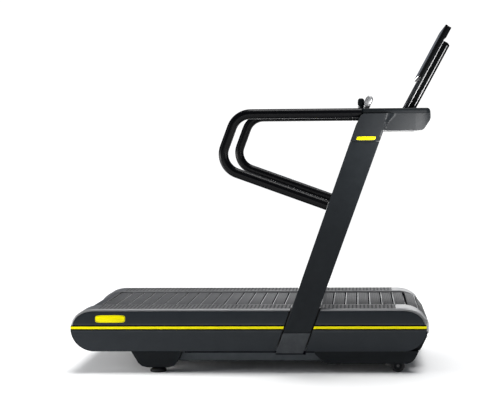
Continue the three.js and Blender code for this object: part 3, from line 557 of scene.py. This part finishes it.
def slat(core, top, place):
    """One slat: a bright moulded body and a darker ribbed pad, placed by a function of (along, out)."""
    half, inner, outer = SLAT["length"] / 2, SLAT["inner"], SLAT["outer"]
    lip, wrap = 3.0, 1.6
    body = [(-half + 9, inner), (-half, inner + 7), (-half, outer - 2.6), (-half + 0.8, outer - 1.3),
            (-half + 2.2, outer - 0.6), (-half + lip, outer - 0.6), (-half + lip + 0.6, outer - 1.6),
            (half - wrap - 0.6, outer - 1.6), (half - wrap - 0.6, inner + 7), (half - 9, inner)]
    cover = [(half - wrap - 0.7, outer - 1.7), (-half + lip + 0.3, outer - 1.7), (-half + lip + 0.3, outer - 0.4),
             (-half + lip + 1.2, outer)]
    ridges = 5
    for i in range(ridges):
        centre = (i - (ridges - 1) / 2) * 9.4
        cover += [(centre - 1.5, outer), (centre - 0.8, outer - 0.8), (centre + 0.8, outer - 0.8),
                  (centre + 1.5, outer)]
    cover += [(half - wrap - 1.6, outer), (half - wrap - 0.5, outer - 0.4), (half - wrap, outer - 1.5),
              (half - wrap, inner + 8), (half - wrap - 0.7, inner + 8)]
    for bm, outline, margin in ((core, body, 0.0), (top, cover, 4.5)):
        rows = []
        for y, shrink in ((-1, 2.0), (-1, 0), (1, 0), (1, 2.0)):
            reach = SLAT["half"] - margin - (2.0 if shrink == 0 else 0.0)
            row = []
            for along, out in outline:
                if shrink:
                    along *= 1 - shrink / half
                    out = min(out, outer - (shrink if margin == 0 else 0.9))
                x, z = place(along, out)
                row.append((x, y * reach, z))
            rows.append(row)
        loft(bm, rows)


def slats(name, node_name, body, places):
    core, top = bmesh.new(), bmesh.new()
    for place in places:
        slat(core, top, place)
    piece(f"slat_bodies_{name}", core, body, "belt_slat", [node_name], material=SLAT_METAL, shade=28)
    piece(f"slat_pads_{name}", top, body, "belt_slat", [node_name], shade=28)


def straight_belt(name, node_name, body, direction):
    centres = [REAR_X + (i + 0.5) * PITCH for i in range(TOP_SLATS)]
    slats(name, node_name, body, [
        lambda along, out, c=c: (c + direction * along, DRUM_Z + direction * out) for c in centres])
    # toothed carrier bands, and a near-black sheet just under the slats, painted shade in the gaps between them
    carrier = bmesh.new()
    near, far = (DRUM_Z + direction * CARRIER[k] for k in ("inner", "outer"))
    teeth = TOP_SLATS * 3
    outline = []
    for k in range(teeth):
        x = REAR_X + 1 + k * (FRONT_X - REAR_X - 2) / teeth
        outline += [(x, near), (x + 12, near), (x + 14, near + direction * 1.2), (x + 20, near + direction * 1.2)]
    for y0, y1 in CARRIER["ys"]:
        prism(carrier, [(REAR_X + 1, far), *outline, (FRONT_X - 1, far)], y0, y1)
    piece(f"carrier_{name}", carrier, body, "black_rubber", edge=0)
    gap_shade_sheet = bmesh.new()
    low, high = (DRUM_Z + direction * (SLAT["inner"] + d) for d in (0.1, 3.0))
    cuboid(gap_shade_sheet, REAR_X + 2, FRONT_X - 2, -SLAT["half"] + 6, SLAT["half"] - 6, low, high)
    piece(f"slat_gap_painted_shade_{name}", gap_shade_sheet, body, "black_rubber", material=PRINT_AND_PAINTED_SHADE, edge=0.6)


def wrapped_belt(name, node_name, body, x, start):
    turns = [math.radians(start + 180 / WRAP_SLATS * (i + 0.5)) for i in range(WRAP_SLATS)]
    slats(name, node_name, body, [
        lambda along, out, c=math.cos(a), s=math.sin(a): (x + out * c - along * s, DRUM_Z + out * s + along * c)
        for a in turns])
    # a near-black sheet under the wrapped slats too: painted shade in their gaps
    gap_shade_half = SLAT["half"] - 6
    for label, inner, outer, ys, material in (
            ("carrier", CARRIER["inner"], CARRIER["outer"], CARRIER["ys"], None),
            ("slat_gap_painted_shade", SLAT["inner"] + 0.1, SLAT["inner"] + 3.0, ((-gap_shade_half, gap_shade_half),), PRINT_AND_PAINTED_SHADE)):
        bm = bmesh.new()
        outline = [*arc(x, DRUM_Z, outer, outer, start + 1, start + 179, 48),
                   *arc(x, DRUM_Z, inner, inner, start + 179, start + 1, 48)]
        for y0, y1 in ys:
            prism(bm, outline, y0, y1)
        piece(f"{label}_{name}", bm, body, "black_rubber", material=material, edge=0)


straight_belt("top", "belt_top_run", "belt_top", 1)
straight_belt("bottom", "belt_bottom_run", "belt_bottom", -1)
wrapped_belt("front", "belt_front_wrap", "belt_front", FRONT_X, -90)
wrapped_belt("rear", "belt_rear_wrap", "belt_rear", REAR_X, 90)

# ---- cover over the belt's rear end ----


def rear_cover():
    bm = bmesh.new()
    outer = arc(REAR_X, DRUM_Z, COVER_RADIUS, COVER_RADIUS, 89, 196, 48)
    inner = arc(REAR_X, DRUM_Z, COVER_RADIUS - 1.7, COVER_RADIUS - 1.7, 196, 89, 48)
    rows = []
    half = RAIL["inner"] - 0.4
    for y, drop in ((-half, 1.2), (-half + 0.6, 0.4), (-half + 2, 0), (half - 2, 0), (half - 0.6, 0.4),
                    (half, 1.2)):
        keep = 1 - drop / COVER_RADIUS
        rows.append([(REAR_X + (x - REAR_X) * keep, y, DRUM_Z + (z - DRUM_Z) * keep) for x, z in outer]
                    + [(x, y, z) for x, z in inner])
    loft(bm, rows)
    piece("rear_cover_shell", bm, "deck", "graphite_paint", ["rear_cover"], material=COVER_PAINT, shade=40)


rear_cover()

# ---- uprights ----


def leaning_block(side, low, high):
    """A length of the upright between two heights."""
    outline = [(rear_edge(low), low), (front_edge(low), low), (front_edge(high), high), (rear_edge(high), high)]
    return prism(bmesh.new(), outline, side * UPRIGHT_NEAR, side * HALF_WIDTH)


def upright(side, word):
    tube = leaning_block(side, SEAM_LOW, SEAM_HIGH)
    cuboid(tube, 140, 225, side * 374.4, side * (UPRIGHT_NEAR + 3), SEAM_LOW + 6, 300)
    piece(f"upright_tube_{word}", tube, "deck", "graphite_paint", [f"upright_{word}"], edge=4.5, segments=4,
          angle=30)
    cover = leaning_block(side, UPRIGHT_BASE, SEAM_LOW - 0.8)
    piece(f"upright_foot_cover_{word}", cover, "deck", "charcoal_panel", [f"upright_cover_{word}"],
          edge=3.0, segments=3)


for side, word in SIDES:
    upright(side, word)

# ---- handrails ----

HANDRAIL = dict(y=423, z=1330.5, radius=25.5, bend=103, seam=471)
RAIL_CORNERS = ((343.3, 859.6), (-219.6, 1064.8), (-118.6, HANDRAIL["z"]), (520, HANDRAIL["z"]))


def tube_path(corners, radius, spacing=14.0, turn_steps=16):
    """Points along straight runs joined by true arcs."""
    points = [Vector(corners[0])]

    def run_towards(end):
        first = points[-1]
        parts = int((end - first).length // spacing) + 1
        points.extend([first.lerp(end, k / parts) for k in range(1, parts)])

    for before, corner, after in zip(corners, corners[1:], corners[2:]):
        p = Vector(corner)
        u, v = (Vector(before) - p).normalized(), (Vector(after) - p).normalized()
        half = math.acos(u.dot(v)) / 2
        reach = radius / math.tan(half)
        centre = p + (u + v).normalized() * (radius / math.sin(half))
        s, e = p + u * reach - centre, p + v * reach - centre
        full = math.atan2(s.x * e.y - s.y * e.x, s.dot(e))
        run_towards(centre + s)
        for k in range(turn_steps + 1):
            c, d = math.cos(full * k / turn_steps), math.sin(full * k / turn_steps)
            points.append(centre + Vector((s.x * c - s.y * d, s.x * d + s.y * c)))
    last = Vector(corners[-1])
    run_towards(last)
    return [*points, last]


def sweep(bm, points, y, radii, steps=28):
    rows = []
    for i, p in enumerate(points):
        ahead = points[min(i + 1, len(points) - 1)] - points[max(i - 1, 0)]
        t = ahead.normalized()
        nx, nz = -t.y, t.x
        r = radii[i]
        row = []
        for k in range(steps):
            a = 2 * math.pi * k / steps
            row.append((p.x + nx * r * math.cos(a), y + r * math.sin(a), p.y + nz * r * math.cos(a)))
        rows.append(row)
    loft(bm, rows)


def handrail(side, word):
    # the tube, with a narrow seam ring where the foam sleeve ends near the console
    points = tube_path(RAIL_CORNERS, HANDRAIL["bend"])
    z, x, r = HANDRAIL["z"], HANDRAIL["seam"], HANDRAIL["radius"]
    rings = [Vector((x + d, z)) for d in (-1.6, -0.8, 0.8, 1.6)]
    points = [p for p in points[:-1] if p.x < x - 5 or p.y < z - 3] + rings + [points[-1]]
    radii = [r - 1.4 if p in rings[1:3] else r for p in points]
    bm = bmesh.new()
    sweep(bm, points, side * HANDRAIL["y"], radii)
    piece(f"handrail_tube_{word}", bm, "deck", "handrail_black", [f"handrail_{word}"], shade=50)


for side, word in SIDES:
    handrail(side, word)

# ---- console ----


def console_depth(x, z):
    """The arm stands proud of the flank behind a crease that fades upwards; the flank rounds off in front."""
    low, high = CONSOLE["bottom"], 1318
    t = min(1, max(0, (z - low) / (high - low)))
    width = lerp(5, 42, t ** 3)
    start = front_edge(z) - lerp(1, 12, t ** 2)
    depth = lerp(HALF_WIDTH - 1, CONSOLE["far"], smooth((x - start) / width))
    past = max(0.0, x - CONSOLE["rounds_from"]) / (CONSOLE["front"] - CONSOLE["rounds_from"])
    return depth - 14 * past ** 2


def console():
    low, top = SEAM_HIGH + 0.8, CONSOLE["top"]
    rear, front, bottom = CONSOLE["rear"], CONSOLE["front"], CONSOLE["bottom"]
    arm = [(rear_edge(low), low), (front_edge(low), low), (front_edge(bottom - 6), bottom - 6),
           (front_edge(bottom) + 4, bottom), (825, bottom), (838, bottom + 8), (front - 4, 1292), (front, 1304),
           (front, top), (rear + 26, top), (rear + 8, top - 8), (rear - 4, top - 32), (rear_edge(1270), 1270)]
    outline = round_corners(arm, [0, 0, 10, 4, 14, 14, 12, 8, 2, 14, 18, 20, 20])
    levels = [1190, 1200, 1215, 1228, *range(1238, 1323, 6)]
    columns = [560, 580, 595, *range(605, 800, 6), 815, 830, 845, 858]
    # the cheeks take the lighter copy of the graphite paint: painted light
    for side, word in SIDES:
        bm = skin(outline, levels, console_depth, side, UPRIGHT_NEAR, columns)
        piece(f"console_cheek_{word}", bm, "deck", "graphite_paint", ["console_body"], material=CONSOLE_PAINTED_LIGHTER,
              edge=3.0, segments=4, angle=48, wall=3.0)
    # the tub between the cheeks: a floor that turns up in front, and a sloping rear wall
    heel, radii, reach = front_edge(bottom) - 30, [0, 10, 14, 12, 8, 0], UPRIGHT_NEAR + 2
    outer = round_corners([(heel, bottom + 1), (824, bottom + 1), (837, bottom + 9), (front - 5, 1292),
                           (front - 1, 1304), (front - 1, top - 0.5)], radii)
    inner = round_corners([(heel, bottom + 5), (821, bottom + 5), (833, bottom + 12), (front - 9, 1294),
                           (front - 5, 1305), (front - 5, top - 0.5)], radii)
    wall = [(rear + 2, top - 0.5), (rear + 2, 1308), (heel, bottom + 1)]
    wall_in = [(rear + 6, top - 0.5), (rear + 6, 1310), (heel, bottom + 6)]
    bm = bmesh.new()
    prism(bm, [*outer, *reversed(inner)], -reach, reach)
    prism(bm, [*wall, *reversed(wall_in)], -reach, reach)
    piece("console_tub", bm, "deck", "graphite_paint", ["console_body"], edge=0.8, angle=40)


console()


def rounded_plan(x0, x1, half, radii, steps=10):
    """Plan outline with its own corner radius at the rear and the front."""
    rear_r, front_r = radii
    out = []
    for cx, cy, r, start in (
            (x1 - front_r, half - front_r, front_r, 0), (x0 + rear_r, half - rear_r, rear_r, 90),
            (x0 + rear_r, -half + rear_r, rear_r, 180), (x1 - front_r, -half + front_r, front_r, 270)):
        out += arc(cx, cy, r, r, start, start + 90, steps)
    return out


def lip_height(x, z):
    """The tray's rim drops in a quarter round towards its front end."""
    nose = TRAY["nose"]
    past = max(0.0, x - (CONSOLE["front"] - nose)) / nose
    drop = nose * (1 - math.sqrt(max(0.0, 1 - past * past)))
    share = (z - TRAY["bottom"]) / (TRAY["top"] - TRAY["bottom"])
    return z - drop * share


def console_tray():
    low, top = TRAY["bottom"], TRAY["top"]
    # rim: out at the bottom, up, over a rounded lip, down into the dished top, then across
    profile = [(1, low), (0, low + 1.5), (0, top - 9), (1.2, top - 5), (3.4, top - 2), (7, top - 0.3),
               (11, top - 0.2), (14.5, top - 1.6), (18, top - 4.4), (24, top - 5.6)]
    rows = []
    for inset, z in profile:
        radii = (max(2, 28 - inset), max(2, 30 - inset))
        plan = rounded_plan(CONSOLE["rear"] + inset, CONSOLE["front"] - inset, TRAY["half"] - inset, radii)
        rows.append([(x, y, lip_height(x, z)) for x, y in plan])
    bm = bmesh.new()
    loft(bm, rows)
    obj = piece("tray_rim", bm, "deck", "black_plastic", ["console_tray"], shade=40)
    # bottle wells and the button's hole
    x, y, r, floor = (TRAY[key] for key in ("well_x", "well_y", "well_radius", "well_floor"))
    cutters = []
    for centre, radius in (((x, y), r + 0.2), ((x, -y), r + 0.2), (BUTTON_AT, 27.2)):
        cut = bmesh.new()
        made = lathe(cut, centre, "z", [(radius, top - 55), (radius, top + 25)], closed=False)
        for end in (0, 1):
            cut.faces.new([row[end] for row in made])
        cutters.append(to_object(f"cutter{len(cutters)}", cut))
        hole = obj.modifiers.new("hole", "BOOLEAN")
        hole.operation = "DIFFERENCE"
        hole.solver = "EXACT"
        hole.object = cutters[-1]
    apply_modifiers(obj)
    for cutter in cutters:
        bpy.data.objects.remove(cutter)
    profile = [(0.01, floor), (r + 2, floor), (r + 2, low + 1), (r + 2.8, low + 1), (r + 2.8, top - 5.2),
               (r + 2.2, top - 3.6), (r + 0.6, top - 3.2), (r - 0.9, top - 4.4), (r - 1.2, top - 8),
               (r - 2.2, floor + 9), (r - 8, floor + 3), (0.01, floor + 3)]
    for side, word in SIDES:
        turned_piece(f"bottle_well_{word}", (x, side * y), "z", profile, 56, "deck", "black_rubber", shade=40)


def apply_modifiers(obj):
    """Keeps the evaluated mesh and drops the modifiers."""
    graph = bpy.context.evaluated_depsgraph_get()
    mesh = bpy.data.meshes.new_from_object(obj.evaluated_get(graph))
    old = obj.data
    obj.modifiers.clear()
    obj.data = mesh
    bpy.data.meshes.remove(old)


console_tray()


def stop_button():
    profile = [(0.01, 1318), (25.5, 1318), (26, 1319), (26, 1341), (25.4, 1344.5), (23.5, 1347), (20, 1349.6),
               (14, 1352.3), (7, 1353.6), (0.01, 1354)]
    turned_piece("stop_button_cap", BUTTON_AT, "z", profile, 56, "stop_button", "stop_red", ["stop_button"],
                 shade=50)
    profile = [(27.4, 1348.6), (33, 1349.2), (35, 1350.8), (34.4, 1352.4), (31, 1353.2), (28.6, 1352.2),
               (27.4, 1350.4)]
    turned_piece("stop_button_ring", BUTTON_AT, "z", profile, 56, "deck", "silver_trim", shade=50)


stop_button()

# ---- hand bar and control levers ----

BAR = dict(x=518, z=1389.5, length=35, height=43, half=285, post_y=240, plate=(60, 205))
LEVER = dict(near=292, far=330, pivot_x=545, pivot_z=1368, top=1426)


def superellipse(cx, cz, rx, rz, power, steps=32):
    out = []
    for k in range(steps):
        a = 2 * math.pi * k / steps
        c, s = math.cos(a), math.sin(a)
        out.append((cx + rx * math.copysign(abs(c) ** (2 / power), c),
                    cz + rz * math.copysign(abs(s) ** (2 / power), s)))
    return out


def sensor_bar():
    x, z, length, height = (BAR[key] for key in ("x", "z", "length", "height"))
    ends = ((0, 0.62), (1.2, 0.8), (4, 0.93), (9, 1.0))
    stations = [(-BAR["half"] + d, f) for d, f in ends] + [(BAR["half"] - d, f) for d, f in reversed(ends)]
    bm = bmesh.new()
    loft(bm, [[(px, y, pz) for px, pz in superellipse(x, z, length / 2 * f, height / 2 * f, 2.8)]
              for y, f in stations])
    piece("hand_bar", bm, "deck", "black_plastic", ["sensor_bar"], shade=50)
    # posts that flare where they meet the tray, and the bright grip plates
    posts, plates, top = bmesh.new(), bmesh.new(), TRAY["top"]
    y0, y1 = BAR["plate"]
    for s in (1, -1):
        rings = []
        for pz, grow in ((top - 5.2, 4), (top - 2.5, 3.4), (top + 1, 1), (top + 6, 0), (z - 14, 0)):
            plan = rounded_plan(x - 5 - grow, x + 14 + grow, 14 + grow, (5 + grow, 5 + grow), 4)
            rings.append([(px, s * BAR["post_y"] + py, pz) for px, py in plan])
        loft(posts, rings)
        prism(plates, superellipse(x, z, length / 2 + 0.25, height / 2 - 0.4, 2.8), s * y0, s * y1)
    piece("hand_bar_posts", posts, "deck", "black_plastic", shade=50)
    piece("hand_bar_sensors", plates, "deck", "silver_trim", edge=0.2, segments=1, angle=50)


sensor_bar()


def lever(side, word):
    """A thumb paddle: rounded in side view, crowned across, on a dark hub."""
    px, pz, top = LEVER["pivot_x"], LEVER["pivot_z"], LEVER["top"]
    outline = round_corners([(px - 10, pz - 9), (px + 8, pz - 11), (px + 21, pz + 3), (px + 36, pz + 33),
                             (px + 33, top - 11), (px + 15, top), (px - 1, top - 13), (px - 10, pz + 26)],
                            [8, 8, 14, 14, 14, 14, 18, 20], 6)
    cx, cz = px + 12, (pz + top) / 2
    crown = ((0, 0.70), (1.5, 0.84), (4, 0.93), (8, 0.98), (13, 1.0))
    stations = [(LEVER["near"] + i, f) for i, f in crown] + [(LEVER["far"] - i, f) for i, f in reversed(crown)]
    bm = bmesh.new()
    loft(bm, [[(cx + (x - cx) * f, side * y, cz + (z - cz) * f) for x, z in outline] for y, f in stations])
    piece(f"control_lever_{word}", bm, f"speed_lever_{word}", "chrome_lever", [f"speed_lever_{word}"], shade=60)
    hub = [(0.01, 286), (7.5, 286), (8, 287), (8, 291.2), (7.5, 291.8), (0.01, 291.8)]
    turned_piece(f"lever_hub_{word}", (px, pz), "y", [(r, side * y) for r, y in hub], 28, f"speed_lever_{word}",
                 "black_plastic", shade=40)


for side, word in SIDES:
    lever(side, word)

# ---- display ----


def slope_piece(name, outline, y0, y1, slot, replaces=(), **look):
    """A slab on the display's slope, from an outline of (up, depth) points."""
    bm = prism(bmesh.new(), [on_display(up, depth) for up, depth in outline], y0, y1)
    piece(name, bm, "deck", slot, replaces, **look)


def display():
    top = SCREEN_HEIGHT
    slope_piece("screen_bezel", [(0.4, 3.4), (top - 0.4, 3.4), (top, 4.4), (top, 13.4), (0, 13.4), (0, 4.4)],
                -252, 252, "black_plastic", ["screen_housing"], material=DEEP_BLACK, edge=0.8)
    slope_piece("screen_back", [(1.5, 13.6), (top - 1.5, 13.6), (top - 1.5, 34), (243, 34), (234, 26), (1.5, 26)],
                -250.5, 250.5, "screen_shell", ["screen_housing"], material=SCREEN_SHELL, edge=2.4, segments=3)
    slope_piece("screen_front", [(0.3, 0.0), (top - 0.3, 0.0), (top - 0.3, 3.2), (0.3, 3.2)], -251.5, 251.5,
                "screen_glass", ["screen_glass"], edge=0.9, segments=3)
    slope_piece("fascia_panel", [(-0.6, 16.5), (display_foot(16.5), 16.5), (display_foot(26), 26), (-0.6, 26)],
                -240, 240, "black_plastic", ["display_fascia"], edge=1.4)


def mast():
    foot = display_foot
    slope_piece("mast_front_plate", [(foot(26.5), 26.5), (foot(29.6), 29.6), (229, 29.6), (229, 26.5)],
                -199.5, 199.5, "black_plastic", material=DEEP_BLACK, edge=0.8)
    # a near-white strip along the mast's front: painted highlight
    slope_piece("mast_front_highlight_strip", [(foot(29.8), 29.8), (foot(33.6), 33.6), (228, 33.6), (230, 29.8)],
                -199, 199, "silver_trim", material=WHITE_PAINTED_HIGHLIGHT, edge=0.4)
    core = round_corners([(foot(34), 34), (foot(71), 71), (222, 71), (230, 56), (230, 34)], [0, 0, 7, 12, 2])
    slope_piece("mast_core", core, -200, 200, "black_plastic", ["display_mast"], material=DEEP_BLACK,
                edge=1.6, angle=40)
    # near-white strips on the mast's sides: painted highlights
    low = foot(56) + 10
    highlight_strip = round_corners([(low, 57.6), (low - 1, 61.2), (214, 61.2), (216, 57.6)], 1)
    for side, word in SIDES:
        slope_piece(f"mast_side_highlight_strip_{word}", highlight_strip, side * 198.5, side * 200.3, "silver_trim", material=WHITE_PAINTED_HIGHLIGHT,
                    edge=0.3, segments=1)


display()
mast()

# ---- feet, wheels and covers underneath ----


def foot_housing(side, word):
    outline = round_corners([(-682, 110.5), (-645, 49), (-624, 31), (-598, 26), (-489, 26), (-457, 34),
                             (-436, 57), (-414, 110.5)], [0, 24, 18, 30, 40, 24, 24, 0], 7)
    bm = bmesh.new()
    prism(bm, outline, side * 360, side * 445)
    piece(f"foot_housing_shell_{word}", bm, "deck", "black_plastic", [f"foot_housing_{word}"],
          edge=4, segments=3, angle=40)


def levelling_foot(side, word):
    profile = [(0.01, 0), (38, 0), (40.5, 0.8), (42, 2.6), (42, 5), (41, 5.6), (41, 6.6), (42, 7.2), (42, 11),
               (41, 13), (38, 15.2), (34, 17.6), (28, 20), (22, 21.6), (14, 22), (9, 24), (9, 60), (0.01, 60)]
    turned_piece(f"foot_pad_{word}", (FOOT_AT[0], side * FOOT_AT[1]), "z", profile, 56, "floor_feet",
                 "black_rubber", [f"levelling_foot_{word}"], shade=40)


def lift_wheel(side, word):
    grooves = []
    for k in range(4):
        y = 415.6 + k * 4.6
        grooves += [(34, y - 1.1), (32.7, y - 0.7), (32.7, y + 0.7), (34, y + 1.1)]
    tyre = [(20, 410), (21, 408.6), (30, 408.2), (32.6, 409.2), (34, 412), *grooves, (34, 433), (32.6, 435.8),
            (30, 436.8), (21, 436.4), (20, 435)]
    turned_piece(f"wheel_tyre_{word}", WHEEL_AT, "y", [(r, side * y) for r, y in tyre], 64, f"lift_wheel_{word}",
                 "black_rubber", [f"lift_wheel_{word}"])
    hub = [(8.1, 409), (12, 409), (12.6, 410.6), (18.6, 411.4), (19.8, 410.4), (19.8, 434.6), (18.6, 433.6),
           (12.6, 434.4), (12, 436), (8.1, 436)]
    turned_piece(f"wheel_hub_{word}", WHEEL_AT, "y", [(r, side * y) for r, y in hub], 48, f"lift_wheel_{word}",
                 "black_plastic")


for side, word in SIDES:
    foot_housing(side, word)
    levelling_foot(side, word)
    lift_wheel(side, word)


def pan_painted_shadow(side, word):
    """Near-black strips on the pan just below the deck: painted shadow, which reads as the dark line under the
    side panels and the upright's foot cover.
    """
    bm = bmesh.new()
    face, edge, outer = side * 359.4, side * 361.0, side * 361.6
    for x0, x1, z0, z1 in ((-413, 66, 88, 97), (66, 222, 78, 97), (222, 300, 88, 97)):
        section = [(face, z0), (edge, z0), (outer, z0 + 0.8), (outer, z1 - 0.8), (edge, z1), (face, z1)]
        loft(bm, [[(x, y, z) for y, z in section] for x in (x0, x1)])
    piece(f"pan_painted_shadow_{word}", bm, "deck", "black_rubber", material=PRINT_AND_PAINTED_SHADE, shade=40)


for side, word in SIDES:
    pan_painted_shadow(side, word)


def plain_label(name, side, centre, half_length, half_height, slant, depth_of):
    """A blank yellow plate with round ends: a rim, a thin dark line inside it, and the raised face."""
    cx, cz = centre
    yellow = MATERIAL["yellow_stripe"]
    for part, grow, rise, material in (("plate", 0.0, 0.5, yellow), ("line", -2.4, 0.7, PRINT_AND_PAINTED_SHADE),
                                       ("face", -3.6, 0.9, yellow)):
        rows = []
        for lift, shrink in ((-0.6, 0.0), (rise - 0.2, 0.0), (rise, 0.3)):
            less = grow - shrink
            ring = [(cx + px + slant * pz, cz + pz)
                    for px, pz in superellipse(0, 0, half_length + less, half_height + less, 5.0, 40)]
            rows.append([(x, side * (depth_of(x, z) + lift), z) for x, z in ring])
        bm = bmesh.new()
        loft(bm, rows)
        piece(f"{name}_{part}", bm, "deck", "yellow_stripe", material=material, shade=50)


# half lengths and heights of the plates, and how far in from the round end or above the seam they sit
PANEL_PLATE = dict(length=78, height=19, inset=208)
ARM_PLATE = dict(length=48, height=9, rise=16, slant=0.36)

for side, word in SIDES:
    panel_low, panel_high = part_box(f"rear_side_panel_{word}")
    stripe_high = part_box(f"rear_stripe_{word}")[1]
    arm_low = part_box("console_body")[0]
    # on the panel, midway between stripe and top edge
    panel_x = panel_low[0] / MM + PANEL_PLATE["inset"]
    panel_z = (stripe_high[2] + panel_high[2]) / 2 / MM
    plain_label(f"panel_label_{word}", side, (panel_x, panel_z), PANEL_PLATE["length"], PANEL_PLATE["height"],
                0.0, panel_depth)
    # on the arm, midway between its two edges
    arm_z = arm_low[2] / MM + ARM_PLATE["rise"]
    arm_x = (rear_edge(arm_z) + front_edge(arm_z)) / 2
    plain_label(f"arm_label_{word}", side, (arm_x, arm_z), ARM_PLATE["length"], ARM_PLATE["height"],
                ARM_PLATE["slant"], lambda x, z: HALF_WIDTH - 1)

# edge widths of the carried-over nodes
CAD_EDGES = {
    0.4: ["drive_belt"],
    0.5: ["power_inlet"],
    0.6: ["lift_hanger", "lift_screw"],
    0.8: ["idler_roller_1", "idler_roller_2"],
    0.9: ["underside_pan"],
    1.0: ["lift_arm", "lift_actuator", "front_drum", "rear_drum", "driven_pulley", "motor_pulley"],
    1.2: ["cross_member_1", "cross_member_2", "belly_cover"],
    1.5: ["side_beam_left", "side_beam_right", "front_bearing_left", "front_bearing_right", "rear_bearing_left",
          "rear_bearing_right", "drive_motor"],
}
# the pan takes the lightened slate: painted fill light
NODES["underside_pan"].data.materials[0] = PAN_PAINTED_FILL_LIGHT
for width, names in CAD_EDGES.items():
    for name in names:
        bevel(NODES[name], width, angle=38, weld=True)

# ---- camera, floor and light ----

CAMERA_AT = (0.496, -6.6325, 1.1939)
CAMERA_TURNS = (("Z", 2.855), ("X", 90 - 3.091), ("Z", -0.479))
camera = bpy.data.cameras.new("camera")
camera.lens = 87.34
camera.sensor_width = 36
camera.shift_x = -0.094
camera.clip_end = 100
camera_object = linked("camera", camera)
placed = Matrix.Translation(CAMERA_AT)
for axis, degrees in CAMERA_TURNS:
    placed = placed @ Matrix.Rotation(math.radians(degrees), 4, axis)
camera_object.matrix_world = placed
bpy.context.scene.camera = camera_object


def floor():
    bm = bmesh.new()
    bmesh.ops.create_circle(bm, cap_ends=True, segments=64, radius=60)
    mesh = bpy.data.meshes.new("floor")
    bm.to_mesh(mesh)
    bm.free()
    obj = linked("floor", mesh)
    mat = bpy.data.materials.new("floor_white")
    mat.use_nodes = True
    shader = mat.node_tree.nodes["Principled BSDF"]
    shader.inputs["Base Color"].default_value = (*grey(0.94), 1)
    shader.inputs["Roughness"].default_value = 0.9
    shader.inputs["Specular IOR Level"].default_value = 0.1
    mesh.materials.append(mat)


floor()


def point_along(obj, direction):
    obj.rotation_mode = "QUATERNION"
    obj.rotation_quaternion = Vector(direction).to_track_quat("-Z", "Y")


def softbox(name, at, aim, width, height, power, spread=180):
    light = bpy.data.lights.new(name, "AREA")
    light.shape = "RECTANGLE"
    light.size = width
    light.size_y = height
    light.energy = power
    light.spread = math.radians(spread)
    obj = linked(name, light)
    obj.visible_camera = False
    obj.location = at
    point_along(obj, Vector(aim) - Vector(at))


softbox("console_high", (0.96, -1.05, 1.14), (0.68, -0.45, 1.22), 0.4, 0.4, 3.2, spread=100)
softbox("rear_low", (-3.0, -0.5, 0.75), (-0.85, 0, 0.0), 1.8, 0.8, 52)
softbox("front_low", (0.0, -3.6, 0.55), (0.0, 0, 0.1), 4.0, 0.5, 12)
softbox("rear_side", (-4.2, -1.5, 2.0), (0, 0, 0.7), 1.0, 2.4, 16)
softbox("back_sheen", (1.0, 3.2, 1.15), (0.4, 0, 0.3), 3.0, 0.8, 28)
sky = bpy.data.lights.new("sky", "SUN")
sky.energy = 3.4
sky.angle = math.radians(36)
point_along(linked("sky", sky), (-0.14, -0.12, -1))

world = bpy.data.worlds.new("studio")
bpy.context.scene.world = world
world.use_nodes = True
tree = world.node_tree
background = tree.nodes["Background"]
background.inputs["Color"].default_value = (1, 1, 1, 1)
background.inputs["Strength"].default_value = 1.1
lit = node(tree, "ShaderNodeBackground", Color=(0.08, 0.088, 0.1, 1), Strength=1.0)
mirror = node(tree, "ShaderNodeBackground", Color=(0.13, 0.14, 0.16, 1), Strength=1.0)
rays = node(tree, "ShaderNodeLightPath")
# what the camera sees is white; what lights the object is darker, and a little lighter in reflections
choose, seen = node(tree, "ShaderNodeMixShader"), node(tree, "ShaderNodeMixShader")
for source, target in (
        (rays.outputs["Is Glossy Ray"], choose.inputs["Fac"]), (lit.outputs["Background"], choose.inputs[1]),
        (mirror.outputs["Background"], choose.inputs[2]), (rays.outputs["Is Camera Ray"], seen.inputs["Fac"]),
        (choose.outputs["Shader"], seen.inputs[1]), (background.outputs["Background"], seen.inputs[2]),
        (seen.outputs["Shader"], tree.nodes["World Output"].inputs["Surface"])):
    tree.links.new(source, target)
bpy.context.scene.view_settings.view_transform = "Standard"
bpy.context.scene.view_settings.look = "None"
